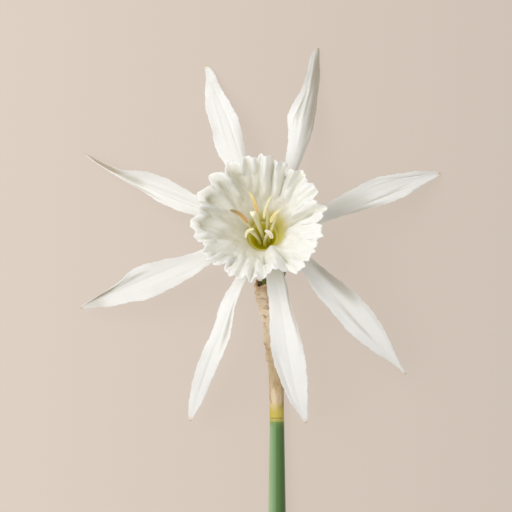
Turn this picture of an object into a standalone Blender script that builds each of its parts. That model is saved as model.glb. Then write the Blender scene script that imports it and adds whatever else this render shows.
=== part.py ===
"""A single sea daffodil flower, picked, lying on a table with its face up.

Frame: metres, +Z up, the table is z = 0, the stem runs towards -Y and the flower looks up at +Z.
The origin is the middle of the whole flower's footprint on the table.
"""

import math

import bmesh
import bpy
import numpy as np
from mathutils import Euler, Vector

MM = 0.001
GAP = 0.3 * MM

# The flower's heart is where cup, petals and tube meet. Its axis leans away from the stem.
HEART = Vector((0.5, 29.0, 16.0)) * MM
LEAN = Euler((math.radians(-15.0), math.radians(-3.0), 0.0)).to_matrix()

# Petals: evenly rooted round the tube's rim, by turns in an inner and an outer ring.
PETAL_THICKNESS = 0.6 * MM
PETAL_ROOT_TURN = 18.0
PETAL_ROOT_HALF = 1.8
PETAL_POINT_HALF = 0.3
PETAL_ARM = 0.36
PETAL_ROWS = 16
PETAL_COLUMNS = 4
PETAL_ROW_CROWDING = 1.15
STATION_CROWDING = 1.3
RISE_SHARES = (0.15, 0.55, 0.90)
INNER_ROOT = (5.6 * MM, 0.5 * MM)
OUTER_ROOT = (5.8 * MM, -0.9 * MM)

# Each petal: the tip's direction seen from above (degrees), its reach and height above the table (mm),
# the slopes at root and tip (degrees), the tip's sideways sway (degrees), its roll at root and tip (degrees);
# its half widths left and right, seen from above (mm), at seven stations that crowd towards the tip; how
# much each side rises for its half width near the root, in the middle and near the tip.
PETALS = [
    dict(turn=19.5, reach=53.8, tip=0.5, lift=8, droop=34, sway=-8, roll=(-6, -4),
         left=(1.9, 2.8, 3.5, 4.0, 3.1, 2.2, 1.2), right=(1.9, 2.2, 3.1, 3.9, 3.7, 2.4, 1.2),
         left_rise=(0.10, 0.15, 0.30), right_rise=(-0.70, 0.10, 0.50)),
    dict(turn=73.5, reach=56.1, tip=0.9, lift=10, droop=22, sway=8, roll=(5, 50),
         left=(1.6, 2.0, 2.9, 4.0, 2.7, 2.1, 1.7), right=(1.8, 2.3, 3.0, 3.4, 2.8, 2.1, 1.1),
         left_rise=(-0.20, -0.50, 0.0), right_rise=(-0.20, -0.30, -0.20)),
    dict(turn=108.5, reach=51.6, tip=0.5, lift=10, droop=26, sway=-2, roll=(0, 6),
         left=(2.0, 3.3, 4.7, 4.0, 3.8, 2.4, 0.8), right=(2.0, 2.3, 3.4, 4.1, 3.3, 2.2, 1.8),
         left_rise=(0.05, 0.10, 0.20), right_rise=(-0.50, 0.0, 0.10)),
    dict(turn=155.0, reach=56.2, tip=0.5, lift=10, droop=34, sway=-14, roll=(-10, -26),
         left=(2.2, 3.1, 2.8, 1.5, 0.8, 0.4, 0.35), right=(1.9, 2.8, 4.2, 4.1, 2.0, 1.5, 1.2),
         left_rise=(0.10, 0.10, 0.10), right_rise=(0.10, 0.20, 1.10)),
    dict(turn=201.5, reach=55.7, tip=4.5, lift=10, droop=34, sway=4, roll=(-6, -18),
         left=(2.3, 4.2, 5.3, 5.5, 4.0, 3.0, 1.3), right=(1.8, 1.9, 3.2, 3.8, 2.0, 1.4, 0.8),
         left_rise=(0.10, 0.15, 0.20), right_rise=(0.10, 0.10, 0.50)),
    dict(turn=248.5, reach=56.0, tip=9.0, lift=10, droop=30, sway=1, roll=(4, 0),
         left=(1.3, 1.5, 2.9, 2.6, 2.0, 1.6, 0.8), right=(1.6, 2.7, 2.3, 3.0, 3.2, 2.7, 1.7),
         left_rise=(0.30, 0.30, 0.20), right_rise=(-0.10, -0.10, 0.0)),
    dict(turn=283.0, reach=53.8, tip=11.5, lift=12, droop=26, sway=9, roll=(6, 8),
         left=(2.0, 2.2, 3.9, 4.6, 4.1, 2.9, 1.6), right=(1.9, 3.0, 4.0, 4.2, 3.4, 2.4, 1.0),
         left_rise=(0.15, 0.25, 0.20), right_rise=(0.15, 0.25, 0.20)),
    dict(turn=316.0, reach=56.0, tip=8.5, lift=10, droop=32, sway=-6, roll=(10, 12),
         left=(1.7, 2.1, 3.2, 3.7, 3.0, 1.7, 0.6), right=(2.2, 4.2, 4.6, 4.8, 3.6, 2.0, 0.6),
         left_rise=(-1.10, -0.20, 0.30), right_rise=(0.30, 0.30, 0.20)),
]
# Cup: a funnel whose half section is one Bezier curve of (radius, height) over the heart.
CUP_SECTION = np.array([(4.4, 0.3), (8.0, 5.8), (11.6, 13.6), (17.2, 18.2)]) * MM
CUP_THICKNESS = 0.65 * MM
CUP_COLUMNS = 126
CUP_ROWS = 8
# The frilled rim, by turns a lobe and the notch after it: direction (degrees), reach past the section (mm).
CUP_RIM = [
    (4, 1.2), (20, -2.2), (30, 0.3), (38, -0.6), (46, 0.1), (57, -2.0), (68, 0.3), (76, -0.5),
    (85, 1.2), (93, -0.5), (101, 0.5), (109, -0.9), (118, 0.3), (127, -1.0), (136, 0.8), (145, -0.8),
    (154, 1.2), (163, -0.9), (168, 0.6), (175, -0.7), (185, 2.0), (203, -0.9), (222, 1.0), (234, -2.6),
    (249, 1.4), (257, -0.4), (265, 0.8), (278, -2.8), (290, -1.0), (298, -1.6), (307, 1.6), (314, 0.6),
    (324, 0.4), (338, -1.2), (345, 0.5), (355, -1.8),
]
LOBE_WAVE = 1.15 * MM
LOBE_WAVE_SIDE = 150.0
LOBE_WAVE_EXTRA = 0.3
LOBE_WAVE_GROWTH = 1.5
WAVE_START = 0.28
LIP_START = 0.8
LIP_CURL = 0.9 * MM
TEETH = 42
TOOTH = 0.25 * MM
# Each pleat is a ridge on the inside of the cup: direction and width (degrees), height (mm), start (share).
CUP_PLEATS = [(283, 10, 2.8, 0.04), (86, 4.5, 1.1, 0.30), (69, 4.5, 1.0, 0.30), (256, 6, 1.0, 0.25)]
PLEAT_GROWTH = 0.7

# Tube: throat, ovary and stalk in one. Each point is (x, y) from the heart, z over the table, radius; in mm.
TUBE_TOP_RADIUS = 5.0 * MM
TUBE_POINTS = [
    (0.3, -0.95, 12.2, 4.6), (0.8, -2.1, 8.6, 3.9), (1.6, -4.4, 5.6, 3.4), (2.7, -7.6, 4.3, 3.6),
    (2.9, -10.2, 4.0, 3.6), (1.9, -13.0, 3.4, 2.3), (1.1, -15.8, 3.0, 1.5), (1.3, -19.0, 2.7, 1.15),
    (2.5, -25.0, 2.4, 1.1), (3.2, -33.0, 2.3, 1.1), (3.8, -42.0, 2.3, 1.1), (4.0, -51.2, 2.2, 1.1),
]
TUBE_RINGS = 23
TUBE_SIDES = 14
# The throat from its rim down to the edge of its floor: (radius, height) as shares of the two below.
THROAT_TOP_RADIUS = 3.85 * MM
THROAT_DEPTH = 5.0 * MM
THROAT_SECTION = [(1.0, 0.0), (0.92, -0.42), (0.76, -0.80), (0.58, -1.0)]
THROAT_STEPS = 20
THROAT_CUT_ABOVE = 2 * MM

# Sheath: a dry papery sleeve round the stalk, from a ragged mouth under the flower down to the stem.
SHEATH_THICKNESS = 0.6 * MM
# (x, y) from the heart, z over the table, middle radius of the wall; in mm.
SHEATH_POINTS = [
    (1.5, -12.9, 3.75, 3.3), (1.1, -14.8, 3.4, 2.85), (1.0, -17.2, 3.0, 2.35), (1.6, -20.5, 2.6, 2.0),
    (2.5, -25.0, 2.4, 1.85), (3.2, -33.0, 2.3, 1.8), (3.8, -42.0, 2.3, 1.8), (4.0, -51.4, 2.3, 1.8),
]
SHEATH_COLUMNS = 18
SHEATH_ROWS = 12
SHEATH_RIDGES = 7
SHEATH_RIDGE = 0.12 * MM
RIDGE_TWIST = 9.0
# The torn mouth is a sum of waves: how many round it, their phase and their share of the rag's depth.
MOUTH_RAG = 1.6 * MM
RAG_MIDDLE = 0.5
RAG_WAVES = [(3, 0.6, 0.3), (5, 2.1, 0.2)]
RAG_FADE = 6

# Stem: a round stalk, thicker towards its cut end, lying on one of its flats.
STEM_TOP = Vector((4.0, -51.8, 0.0)) * MM
STEM_LENGTH = 60.0 * MM
STEM_TOP_RADIUS = 2.06 * MM
STEM_END_RADIUS = 3.1 * MM
STEM_SIDES = 24
STEM_EDGE = 0.25 * MM

# Stamens and style. Each end is (x, y) from the heart and z over the table, in mm.
THREAD_ARM = 0.4
FILAMENT_RADIUS = 0.42 * MM
FILAMENT_RING = 1.35 * MM
FILAMENT_SIDES = 6
FILAMENT_STEPS = 9
STYLE_RADIUS = 0.5 * MM
STYLE_SIDES = 8
STYLE_STEPS = 12
STIGMA_RADIUS = 0.85 * MM
STIGMA_TOP = 0.6
ANTHER_RADIUS = 0.62 * MM
ANTHER_FLATNESS = 0.8
ANTHER_SIDES = 8
ANTHER_RINGS = 9
# Where an anther's two ends are, how far its middle bows, and the direction of its thread's foot (degrees).
ANTHERS = [
    dict(low=(-4.3, 3.4, 27.0), high=(-9.1, 7.0, 28.4), bow=0.7, foot=165),
    dict(low=(-1.8, 6.2, 27.0), high=(-3.9, 11.9, 28.6), bow=0.5, foot=105),
    dict(low=(0.2, 4.6, 26.4), high=(2.4, 10.8, 28.0), bow=-0.5, foot=45),
    dict(low=(2.0, 3.5, 26.0), high=(5.0, 7.3, 27.2), bow=-0.4, foot=345),
    dict(low=(-4.7, -0.7, 25.6), high=(-2.4, 1.8, 26.4), bow=-0.9, foot=225),
    dict(low=(2.4, -0.9, 25.6), high=(0.4, 1.3, 26.4), bow=0.6, foot=285),
]
STIGMA_AT = (-2.8, 6.1, 29.0)


def clear_scene():
    for thing in list(bpy.data.objects):
        bpy.data.objects.remove(thing)


def new_collection(name):
    collection = bpy.data.collections.new(name)
    bpy.context.scene.collection.children.link(collection)
    return collection


def finish(name, colour, roughness):
    material = bpy.data.materials.new(name)
    material.use_nodes = True
    shader = material.node_tree.nodes["Principled BSDF"]
    shader.inputs["Base Color"].default_value = (*colour, 1.0)
    shader.inputs["Roughness"].default_value = roughness
    return material


def add_object(name, data, collection, material=None):
    thing = bpy.data.objects.new(name, data)
    collection.objects.link(thing)
    if material:
        data.materials.append(material)
    return thing


def from_heart(point):
    """World place of (x, y) measured from the heart and z over the table, all in mm."""
    return Vector((HEART.x + point[0] * MM, HEART.y + point[1] * MM, point[2] * MM))


def bezier(controls, share):
    """Point and direction of a cubic Bezier curve; share is an array from 0 to 1."""
    t = np.asarray(share, float)[..., None]
    a, b, c, d = (np.asarray(p, float) for p in controls)
    point = (1 - t) ** 3 * a + 3 * (1 - t) ** 2 * t * b + 3 * (1 - t) * t**2 * c + t**3 * d
    along = 3 * (1 - t) ** 2 * (b - a) + 6 * (1 - t) * t * (c - b) + 3 * t**2 * (d - c)
    return point, along / np.linalg.norm(along, axis=-1, keepdims=True)


def smooth_path(points, share):
    """A Catmull-Rom curve through the points, all of whose values (place and radius) blend alike."""
    rows = np.asarray(points, float)
    padded = np.vstack([2 * rows[0] - rows[1], rows, 2 * rows[-1] - rows[-2]])
    spans = len(rows) - 1
    where = np.clip(np.asarray(share, float) * spans, 0, spans - 1e-9)
    first = where.astype(int)
    t = (where - first)[..., None]
    p0, p1, p2, p3 = (padded[first + step] for step in range(4))
    return 0.5 * (
        2 * p1 + (p2 - p0) * t + (2 * p0 - 5 * p1 + 4 * p2 - p3) * t**2
        + (3 * p1 - p0 - 3 * p2 + p3) * t**3
    )


def sheet_mesh(name, columns, rows, place, weld=0.0):
    """A grid of columns by rows cells whose vertices go where place(u, v) says, u and v from 0 to 1.

    It is split into triangles before it gets its thickness, so both faces of the wall are split alike.
    """
    form = bmesh.new()
    bmesh.ops.create_grid(form, x_segments=columns, y_segments=rows, size=0.5)
    flat = np.array([vertex.co for vertex in form.verts])
    for vertex, spot in zip(form.verts, place(flat[:, 0] + 0.5, flat[:, 1] + 0.5)):
        vertex.co = spot
    if weld:
        bmesh.ops.remove_doubles(form, verts=form.verts, dist=weld)
    bmesh.ops.triangulate(form, faces=form.faces)
    mesh = bpy.data.meshes.new(name)
    form.to_mesh(mesh)
    form.free()
    mesh.shade_smooth()
    return mesh


def give_thickness(thing, thickness):
    wall = thing.modifiers.new("Wall", "SOLIDIFY")
    wall.thickness = thickness
    wall.offset = 0.0


def petal_halves(petal, share):
    """Half widths (left, right) at each share: a smooth curve through root, seven stations and point."""
    sides = np.array([petal["left"], petal["right"]]).T
    rows = np.vstack([np.full(2, PETAL_ROOT_HALF), sides, np.full(2, PETAL_POINT_HALF)]) * MM
    return smooth_path(rows, 1 - (1 - share) ** (1 / STATION_CROWDING))


def petal_place(petal, root_turn, root, share, across):
    """Points of a petal's middle surface; share runs from root to tip, across from -1 to 1 (left)."""
    radius, height = root
    ray = Vector((math.cos(root_turn), math.sin(root_turn), 0.0))
    start = HEART + LEAN @ (ray * radius + Vector((0, 0, height)))
    turn = math.radians(petal["turn"])
    out = Vector((math.cos(turn), math.sin(turn), 0.0))
    tip = Vector((HEART.x, HEART.y, petal["tip"] * MM)) + out * petal["reach"] * MM
    leave = (root_turn + turn) / 2
    rise = math.tan(math.radians(petal["lift"]))
    first = (LEAN @ Vector((math.cos(leave), math.sin(leave), rise))).normalized()
    heading = turn + math.radians(petal["sway"])
    droop = math.radians(petal["droop"])
    last = Vector((math.cos(heading), math.sin(heading), -math.tan(droop))).normalized()
    arm = PETAL_ARM * (tip - start).length
    middle, along = bezier((start, start + first * arm, tip - last * arm, tip), share)
    side = np.cross((0.0, 0.0, 1.0), along)
    side /= np.linalg.norm(side, axis=-1, keepdims=True)
    up = np.cross(along, side)
    root_roll, tip_roll = (math.radians(angle) for angle in petal["roll"])
    roll = root_roll + (tip_roll - root_roll) * share**1.5
    left, right = petal_halves(petal, share).T
    half = np.where(across > 0, left, right) / np.cos(roll)
    rises = [np.interp(share, RISE_SHARES, petal[key]) for key in ("left_rise", "right_rise")]
    slope = np.where(across > 0, *rises) * np.clip(share / RISE_SHARES[0], 0, 1)
    lift_up = half * slope * np.abs(across) ** 1.5
    roll = roll[..., None]
    leaning = side * np.cos(roll) + up * np.sin(roll)
    facing = up * np.cos(roll) - side * np.sin(roll)
    return middle + leaning * (half * across)[..., None] + facing * lift_up[..., None]


def make_petal(number, petal, collection, material):
    root_turn = math.radians(PETAL_ROOT_TURN + 360 / len(PETALS) * number)
    root = INNER_ROOT if number % 2 else OUTER_ROOT

    def place(u, v):
        share = 1 - (1 - u) ** PETAL_ROW_CROWDING
        return petal_place(petal, root_turn, root, share, 2 * v - 1)

    mesh = sheet_mesh(f"petal_{number + 1}", PETAL_ROWS, PETAL_COLUMNS, place)
    thing = add_object(mesh.name, mesh, collection, material)
    give_thickness(thing, PETAL_THICKNESS)
    return thing


def cup_place(turn, share):
    """Points of the cup's middle surface, from the heart; turn in radians, share from base to rim.

    The wall waves along its normal, out at each lobe of the rim and in at each notch, more and more
    towards the rim. Each lobe's edge is an elliptic arc from its own reach down to its notches' reach,
    and the edge has fine teeth.
    """
    degrees = np.degrees(turn) % 360
    at = np.array([spot[0] for spot in CUP_RIM], float)
    reach = np.array([spot[1] for spot in CUP_RIM], float) * MM
    at = np.concatenate([[at[-1] - 360], at, [at[0] + 360]])
    reach = np.concatenate([[reach[-1]], reach, [reach[0]]])
    step = np.interp(degrees, at, np.arange(-1, len(CUP_RIM) + 1))
    wave = np.cos(step * math.pi)
    before = np.floor(step).astype(int)
    from_lobe = np.where(before % 2 == 0, step - before, before + 1 - step)
    lobe = reach[np.where(before % 2 == 0, before + 1, before + 2)]
    notch = reach[np.where(before % 2 == 0, before + 2, before + 1)]
    longer = lobe + (notch - lobe) * (1 - np.sqrt(1 - from_lobe**2))
    section, along = bezier(CUP_SECTION, share)
    normal = np.stack([along[..., 1], -along[..., 0]], axis=-1)
    grown = np.clip((share - WAVE_START) / (1 - WAVE_START), 0, 1)
    lip = np.clip((share - LIP_START) / (1 - LIP_START), 0, 1)
    strength = 1 + LOBE_WAVE_EXTRA * np.cos(turn - math.radians(LOBE_WAVE_SIDE))
    out = LOBE_WAVE * strength * wave * grown**LOBE_WAVE_GROWTH + LIP_CURL * lip**2 * (0.5 + 0.5 * wave)
    for centre, width, height, start in CUP_PLEATS:
        away = (degrees - centre + 180) % 360 - 180
        ridge = np.clip((share - start) / (1 - start), 0, 1) ** PLEAT_GROWTH
        out = out - height * MM * ridge * np.exp(-((away / width) ** 2))
    longer = longer * grown + TOOTH * np.cos(TEETH * turn) * lip
    section = section + normal * out[..., None] + along * longer[..., None]
    radius, height = section[..., 0], section[..., 1]
    return np.stack([radius * np.cos(turn), radius * np.sin(turn), height], axis=-1)


def leaned(points):
    """Points given in the flower's own upright frame, set at the heart and leaned with its axis."""
    return points @ np.array(LEAN).T + np.array(HEART)


def make_cup(collection, material):
    def place(u, v):
        return leaned(cup_place(2 * math.pi * u, v))

    mesh = sheet_mesh("cup", CUP_COLUMNS, CUP_ROWS, place, weld=0.01 * MM)
    thing = add_object("cup", mesh, collection, material)
    give_thickness(thing, CUP_THICKNESS)
    return thing


def round_curve(name, points, radii, sides, collection):
    """A round rod of changing radius along the points, made a closed mesh."""
    curve = bpy.data.curves.new(name, "CURVE")
    curve.dimensions = "3D"
    curve.bevel_depth = 1.0
    curve.bevel_resolution = sides // 2 - 2
    curve.use_fill_caps = True
    line = curve.splines.new("POLY")
    line.points.add(len(points) - 1)
    for knot, place, radius in zip(line.points, points, radii):
        knot.co = (*place, 1.0)
        knot.radius = radius
    guide = bpy.data.objects.new(name + "_line", curve)
    bpy.context.scene.collection.objects.link(guide)
    graph = bpy.context.evaluated_depsgraph_get()
    mesh = bpy.data.meshes.new_from_object(guide.evaluated_get(graph))
    bpy.data.objects.remove(guide)
    form = bmesh.new()
    form.from_mesh(mesh)
    bmesh.ops.remove_doubles(form, verts=form.verts, dist=0.002 * MM)
    form.to_mesh(mesh)
    form.free()
    mesh.shade_smooth()
    return add_object(name, mesh, collection)


def make_tube(collection, cutters, material):
    """Throat, ovary and stalk: one swept rod, with the throat hollowed out of its wide top."""
    top = HEART - LEAN @ Vector((0, 0, GAP))
    rows = [(*top, TUBE_TOP_RADIUS)]
    rows += [(*from_heart(point), point[3] * MM) for point in TUBE_POINTS]
    path = smooth_path(rows, np.linspace(0, 1, TUBE_RINGS))
    thing = round_curve("tube", path[:, :3], path[:, 3], TUBE_SIDES, collection)
    thing.data.materials.append(material)

    profile = bpy.data.meshes.new("throat_cut")
    outline = [(0.0, THROAT_CUT_ABOVE), (THROAT_TOP_RADIUS, THROAT_CUT_ABOVE)]
    outline += [(radius * THROAT_TOP_RADIUS, height * THROAT_DEPTH) for radius, height in THROAT_SECTION]
    outline += [(0.0, -THROAT_DEPTH)]
    profile.from_pydata([(r, 0.0, z) for r, z in outline], [(i, i + 1) for i in range(len(outline) - 1)], [])
    cutter = add_object("throat_cut", profile, cutters)
    turn = cutter.modifiers.new("Turn", "SCREW")
    turn.steps = turn.render_steps = THROAT_STEPS
    turn.use_merge_vertices = True
    turn.merge_threshold = 0.01 * MM
    cutter.location = top
    cutter.rotation_euler = LEAN.to_euler()
    cutter.hide_render = True
    cutter.display_type = "WIRE"
    cut = thing.modifiers.new("Throat", "BOOLEAN")
    cut.operation = "DIFFERENCE"
    cut.object = cutter
    return thing


def make_sheath(collection, material):
    """The sleeve follows its own line; its mouth is torn into a few uneven points."""
    rows = [(*from_heart(point), point[3] * MM) for point in SHEATH_POINTS]

    def place(u, v):
        turn = 2 * math.pi * u
        waves = sum(part * np.sin(count * turn + phase) for count, phase, part in RAG_WAVES)
        rag = MOUTH_RAG * (RAG_MIDDLE + waves)
        path = smooth_path(rows, v)
        near = smooth_path(rows, np.clip(v + 0.01, 0, 1)) - smooth_path(rows, np.clip(v - 0.01, 0, 1))
        along = near[..., :3] / np.linalg.norm(near[..., :3], axis=-1, keepdims=True)
        side = np.cross((0.0, 0.0, 1.0), along)
        side /= np.linalg.norm(side, axis=-1, keepdims=True)
        up = np.cross(along, side)
        ridge = SHEATH_RIDGE * np.sin(SHEATH_RIDGES * turn + RIDGE_TWIST * v) * np.sin(math.pi * v)
        radius = (path[..., 3] + ridge)[..., None]
        ring = side * np.cos(turn)[..., None] + up * np.sin(turn)[..., None]
        torn = (rag * (1 - v) ** RAG_FADE)[..., None]
        return path[..., :3] + ring * radius + along * torn

    mesh = sheet_mesh("sheath", SHEATH_COLUMNS, SHEATH_ROWS, place, weld=0.01 * MM)
    thing = add_object("sheath", mesh, collection, material)
    give_thickness(thing, SHEATH_THICKNESS)
    return thing


def make_stem(collection, material):
    """A turned, tapered stalk. It is tipped by its taper, so one of its flats lies on the table."""
    profile = bpy.data.meshes.new("stem")
    outline = [
        (0.0, 0.0), (STEM_TOP_RADIUS, 0.0), (STEM_END_RADIUS, -STEM_LENGTH + STEM_EDGE),
        (STEM_END_RADIUS - STEM_EDGE, -STEM_LENGTH), (0.0, -STEM_LENGTH),
    ]
    profile.from_pydata([(r, 0.0, z) for r, z in outline], [(i, i + 1) for i in range(len(outline) - 1)], [])
    thing = add_object("stem", profile, collection, material)
    turn = thing.modifiers.new("Turn", "SCREW")
    turn.steps = turn.render_steps = STEM_SIDES
    turn.use_merge_vertices = True
    turn.merge_threshold = 0.01 * MM
    half_side = math.pi / STEM_SIDES
    flat = math.cos(half_side)
    taper = math.atan((STEM_END_RADIUS - STEM_TOP_RADIUS) * flat / (STEM_LENGTH - STEM_EDGE))
    lie_down = Euler((math.radians(-90) - taper, 0, 0)).to_matrix()
    flat_down = Euler((0, 0, math.radians(90) + half_side)).to_matrix()
    thing.rotation_euler = (lie_down @ flat_down).to_euler()
    thing.location = HEART + STEM_TOP
    thing.location.z = STEM_TOP_RADIUS * flat * math.cos(taper)
    return thing


def make_anther(number, anther, collection, material):
    """A slender bowed capsule: a sphere drawn out along the arc between the anther's two ends."""
    low, high = from_heart(anther["low"]), from_heart(anther["high"])
    along = (high - low).normalized()
    side = along.cross(Vector((0, 0, 1))).normalized()
    up = along.cross(side)
    form = bmesh.new()
    bmesh.ops.create_uvsphere(form, u_segments=ANTHER_SIDES, v_segments=ANTHER_RINGS, radius=1.0)
    for vertex in form.verts:
        share = 0.5 + 0.5 * vertex.co.z
        bow = side * anther["bow"] * MM * (1 - vertex.co.z**2)
        round_off = ANTHER_RADIUS * (side * vertex.co.x * ANTHER_FLATNESS + up * vertex.co.y)
        vertex.co = low.lerp(high, share) + bow + round_off
    mesh = bpy.data.meshes.new(f"anther_{number + 1}")
    form.to_mesh(mesh)
    form.free()
    mesh.shade_smooth()
    return add_object(mesh.name, mesh, collection, material)


def thread(start, end, arrival, steps):
    """A slender stalk's line: it leaves the throat along the flower's axis and bends into its arrival."""
    axis = LEAN @ Vector((0, 0, 1))
    arm = THREAD_ARM * (end - start).length
    return bezier((start, start + axis * arm, end - arrival * 0.5 * arm, end), np.linspace(0, 1, steps))[0]


def throat_floor_spot(turn, radius):
    """A spot on the throat's floor, a gap above it."""
    ray = Vector((math.cos(turn), math.sin(turn), 0.0))
    return HEART + LEAN @ (ray * radius - Vector((0, 0, THROAT_DEPTH)))


def make_filament(number, anther, collection, material):
    """A thread from the throat's floor to the back of its anther, which it meets squarely."""
    low, high = from_heart(anther["low"]), from_heart(anther["high"])
    along = (high - low).normalized()
    side = along.cross(Vector((0, 0, 1))).normalized()
    back = (low + high) / 2 + side * anther["bow"] * MM
    axis = LEAN @ Vector((0, 0, 1))
    arrival = (axis - along * axis.dot(along)).normalized()
    start = throat_floor_spot(math.radians(anther["foot"]), FILAMENT_RING)
    line = thread(start, back - arrival * (ANTHER_RADIUS + GAP), arrival, FILAMENT_STEPS)
    radii = [FILAMENT_RADIUS] * len(line)
    thing = round_curve(f"filament_{number + 1}", line, radii, FILAMENT_SIDES, collection)
    thing.data.materials.append(material)
    return thing


def make_style(collection, material):
    """The style rises from the middle of the throat and ends in a small knob, the stigma."""
    start = throat_floor_spot(0.0, 0.0)
    line = thread(start, from_heart(STIGMA_AT), LEAN @ Vector((0, 0, 1)), STYLE_STEPS)
    radii = [STYLE_RADIUS] * (len(line) - 2) + [STIGMA_RADIUS, STIGMA_TOP * STIGMA_RADIUS]
    thing = round_curve("style", line, radii, STYLE_SIDES, collection)
    thing.data.materials.append(material)
    return thing


def main():
    clear_scene()
    flower = new_collection("sea_daffodil_flower")
    cutters = new_collection("cutters")
    white = finish("petal_white", (0.86, 0.86, 0.80), 0.5)
    cup_white = finish("cup_white", (0.87, 0.86, 0.76), 0.5)
    olive = finish("tube_olive", (0.24, 0.30, 0.07), 0.5)
    papery = finish("sheath_tan", (0.60, 0.44, 0.24), 0.7)
    green = finish("stem_green", (0.17, 0.30, 0.10), 0.45)
    cream = finish("filament_cream", (0.78, 0.74, 0.45), 0.5)
    pollen = finish("anther_yellow", (0.80, 0.62, 0.22), 0.7)
    for number, petal in enumerate(PETALS):
        make_petal(number, petal, flower, white)
    make_cup(flower, cup_white)
    make_tube(flower, cutters, olive)
    make_sheath(flower, papery)
    make_stem(flower, green)
    for number, anther in enumerate(ANTHERS):
        make_anther(number, anther, flower, pollen)
        make_filament(number, anther, flower, cream)
    make_style(flower, cream)


main()
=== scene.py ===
# %% [markdown]
# # A sea daffodil flower, lying face up
#
# This is one picked flower: eight long white petals, a frilled white cup with a yellow-green
# throat, six stamens and a style, a tan papery sheath and a green stem. The imported solids give
# every piece its size and place. This script grows a finer skin over each solid and gives it
# the finish of the living thing.
#
# Every skin here is a grid of points worked out with numpy. Modelling by hand would also do,
# but petals are all of one family, and a formula with a few named numbers for each petal keeps
# them related and easy to change. Where the flesh is greener in one place than in another, and
# where shade is painted onto it, that is worked out together with the shape and kept on the
# skin's points, so that a finish can read it.

# %% Load the fixed frame
import math

import bpy
import numpy as np
from mathutils import Euler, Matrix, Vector


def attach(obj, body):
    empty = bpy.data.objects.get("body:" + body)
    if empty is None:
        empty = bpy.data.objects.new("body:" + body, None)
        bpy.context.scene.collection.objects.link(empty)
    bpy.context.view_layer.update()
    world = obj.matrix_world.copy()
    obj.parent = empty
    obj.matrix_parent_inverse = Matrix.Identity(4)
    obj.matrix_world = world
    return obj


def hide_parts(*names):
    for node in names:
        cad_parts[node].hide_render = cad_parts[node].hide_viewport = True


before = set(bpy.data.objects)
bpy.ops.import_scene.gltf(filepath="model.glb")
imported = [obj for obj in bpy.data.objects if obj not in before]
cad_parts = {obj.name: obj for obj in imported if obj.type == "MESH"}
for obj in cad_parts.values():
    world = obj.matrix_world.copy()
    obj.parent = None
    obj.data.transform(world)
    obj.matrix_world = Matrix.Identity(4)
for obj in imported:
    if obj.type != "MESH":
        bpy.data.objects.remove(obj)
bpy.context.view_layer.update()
MM = 0.001

# %% [markdown]
# ## Adding an object
#
# What is seen in Blender is an object that holds data: a mesh, a lamp or a camera. It shows only
# once it is linked to the scene's collection. Everything below is added in this one way.

# %% One helper to add an object


def add(name, data):
    """A new object of the scene that holds the data."""
    item = bpy.data.objects.new(name, data)
    bpy.context.scene.collection.objects.link(item)
    return item


# %% [markdown]
# ## The heart of the flower
#
# Cup, petals and tube meet at one point, the heart. The flower's axis leans away from the stem
# there. All places below are measured from the heart, in the flower's leaning frame for what
# grows out of it, or in the table's frame for what lies on the table.

# %% The heart and its lean
HEART = np.array((0.5, 29.0, 16.0)) * MM
LEAN = np.array(Euler((math.radians(-15.0), math.radians(-3.0), 0.0)).to_matrix())
AXIS = LEAN @ np.array((0.0, 0.0, 1.0))
TABLE_UP = np.array((0.0, 0.0, 1.0))


def leaned(points):
    """Points of the flower's own upright frame, turned with its axis and moved to the heart."""
    return points @ LEAN.T + HEART


def from_heart(point):
    """A place given as (x, y) from the heart and z over the table, in mm."""
    return np.array((HEART[0] / MM + point[0], HEART[1] / MM + point[1], point[2])) * MM


print("the flower looks along", AXIS.round(3))

# %% [markdown]
# ## The camera
#
# The photograph looks straight at the flower's face, and the picked flower lies on a table, so
# the camera looks straight down. The picture is 512 points wide and one point covers 0.28 mm
# near the heart's height. The lens follows from that scale and from how far off the camera is.

# %% The camera over the table
PICTURE_WIDTH = 512
POINT_SIZE = 0.28 * MM
CAMERA_DISTANCE = 0.6
SENSOR = 36.0
# The picture's middle from the heart, and the height over the table where its scale holds.
PICTURE_MIDDLE = (-1.96 * MM, -5.6 * MM)
SCALE_HEIGHT = 14 * MM

camera = add("camera", bpy.data.cameras.new("camera"))
camera.data.sensor_width = SENSOR
camera.data.lens = SENSOR * CAMERA_DISTANCE / (PICTURE_WIDTH * POINT_SIZE)
camera.location = (*(HEART[:2] + PICTURE_MIDDLE), CAMERA_DISTANCE + SCALE_HEIGHT)
bpy.context.scene.camera = camera
print("lens in mm:", round(camera.data.lens, 1))

# %% [markdown]
# ## Finishes are small node trees
#
# Each finish is one Principled shader. Numbers that are the same all over a piece are set on the
# shader itself, and only what changes over the surface, its colour, its roughness and its fine
# relief, comes from nodes. Patterns that run with a piece read its UV map. Painted shade and the
# throat's green are read from the values that the skin carries on its points.

# %% Helpers to lay out nodes


def new_finish(name, **constants):
    """A material with constants set on its shader's own sockets; underscores stand for spaces."""
    material = bpy.data.materials.new(name)
    material.use_nodes = True
    shader = material.node_tree.nodes["Principled BSDF"]
    for key, value in constants.items():
        shader.inputs[key.replace("_", " ")].default_value = value
    return material, material.node_tree, shader


def put(tree, kind, inputs=(), **settings):
    """Adds a node; each of its inputs is a constant or the output socket of another node."""
    node = tree.nodes.new("ShaderNode" + kind)
    for key, value in settings.items():
        setattr(node, key, value)
    for key, value in dict(inputs).items():
        if isinstance(value, bpy.types.NodeSocket):
            tree.links.new(value, node.inputs[key])
        else:
            node.inputs[key].default_value = value
    return node


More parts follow.
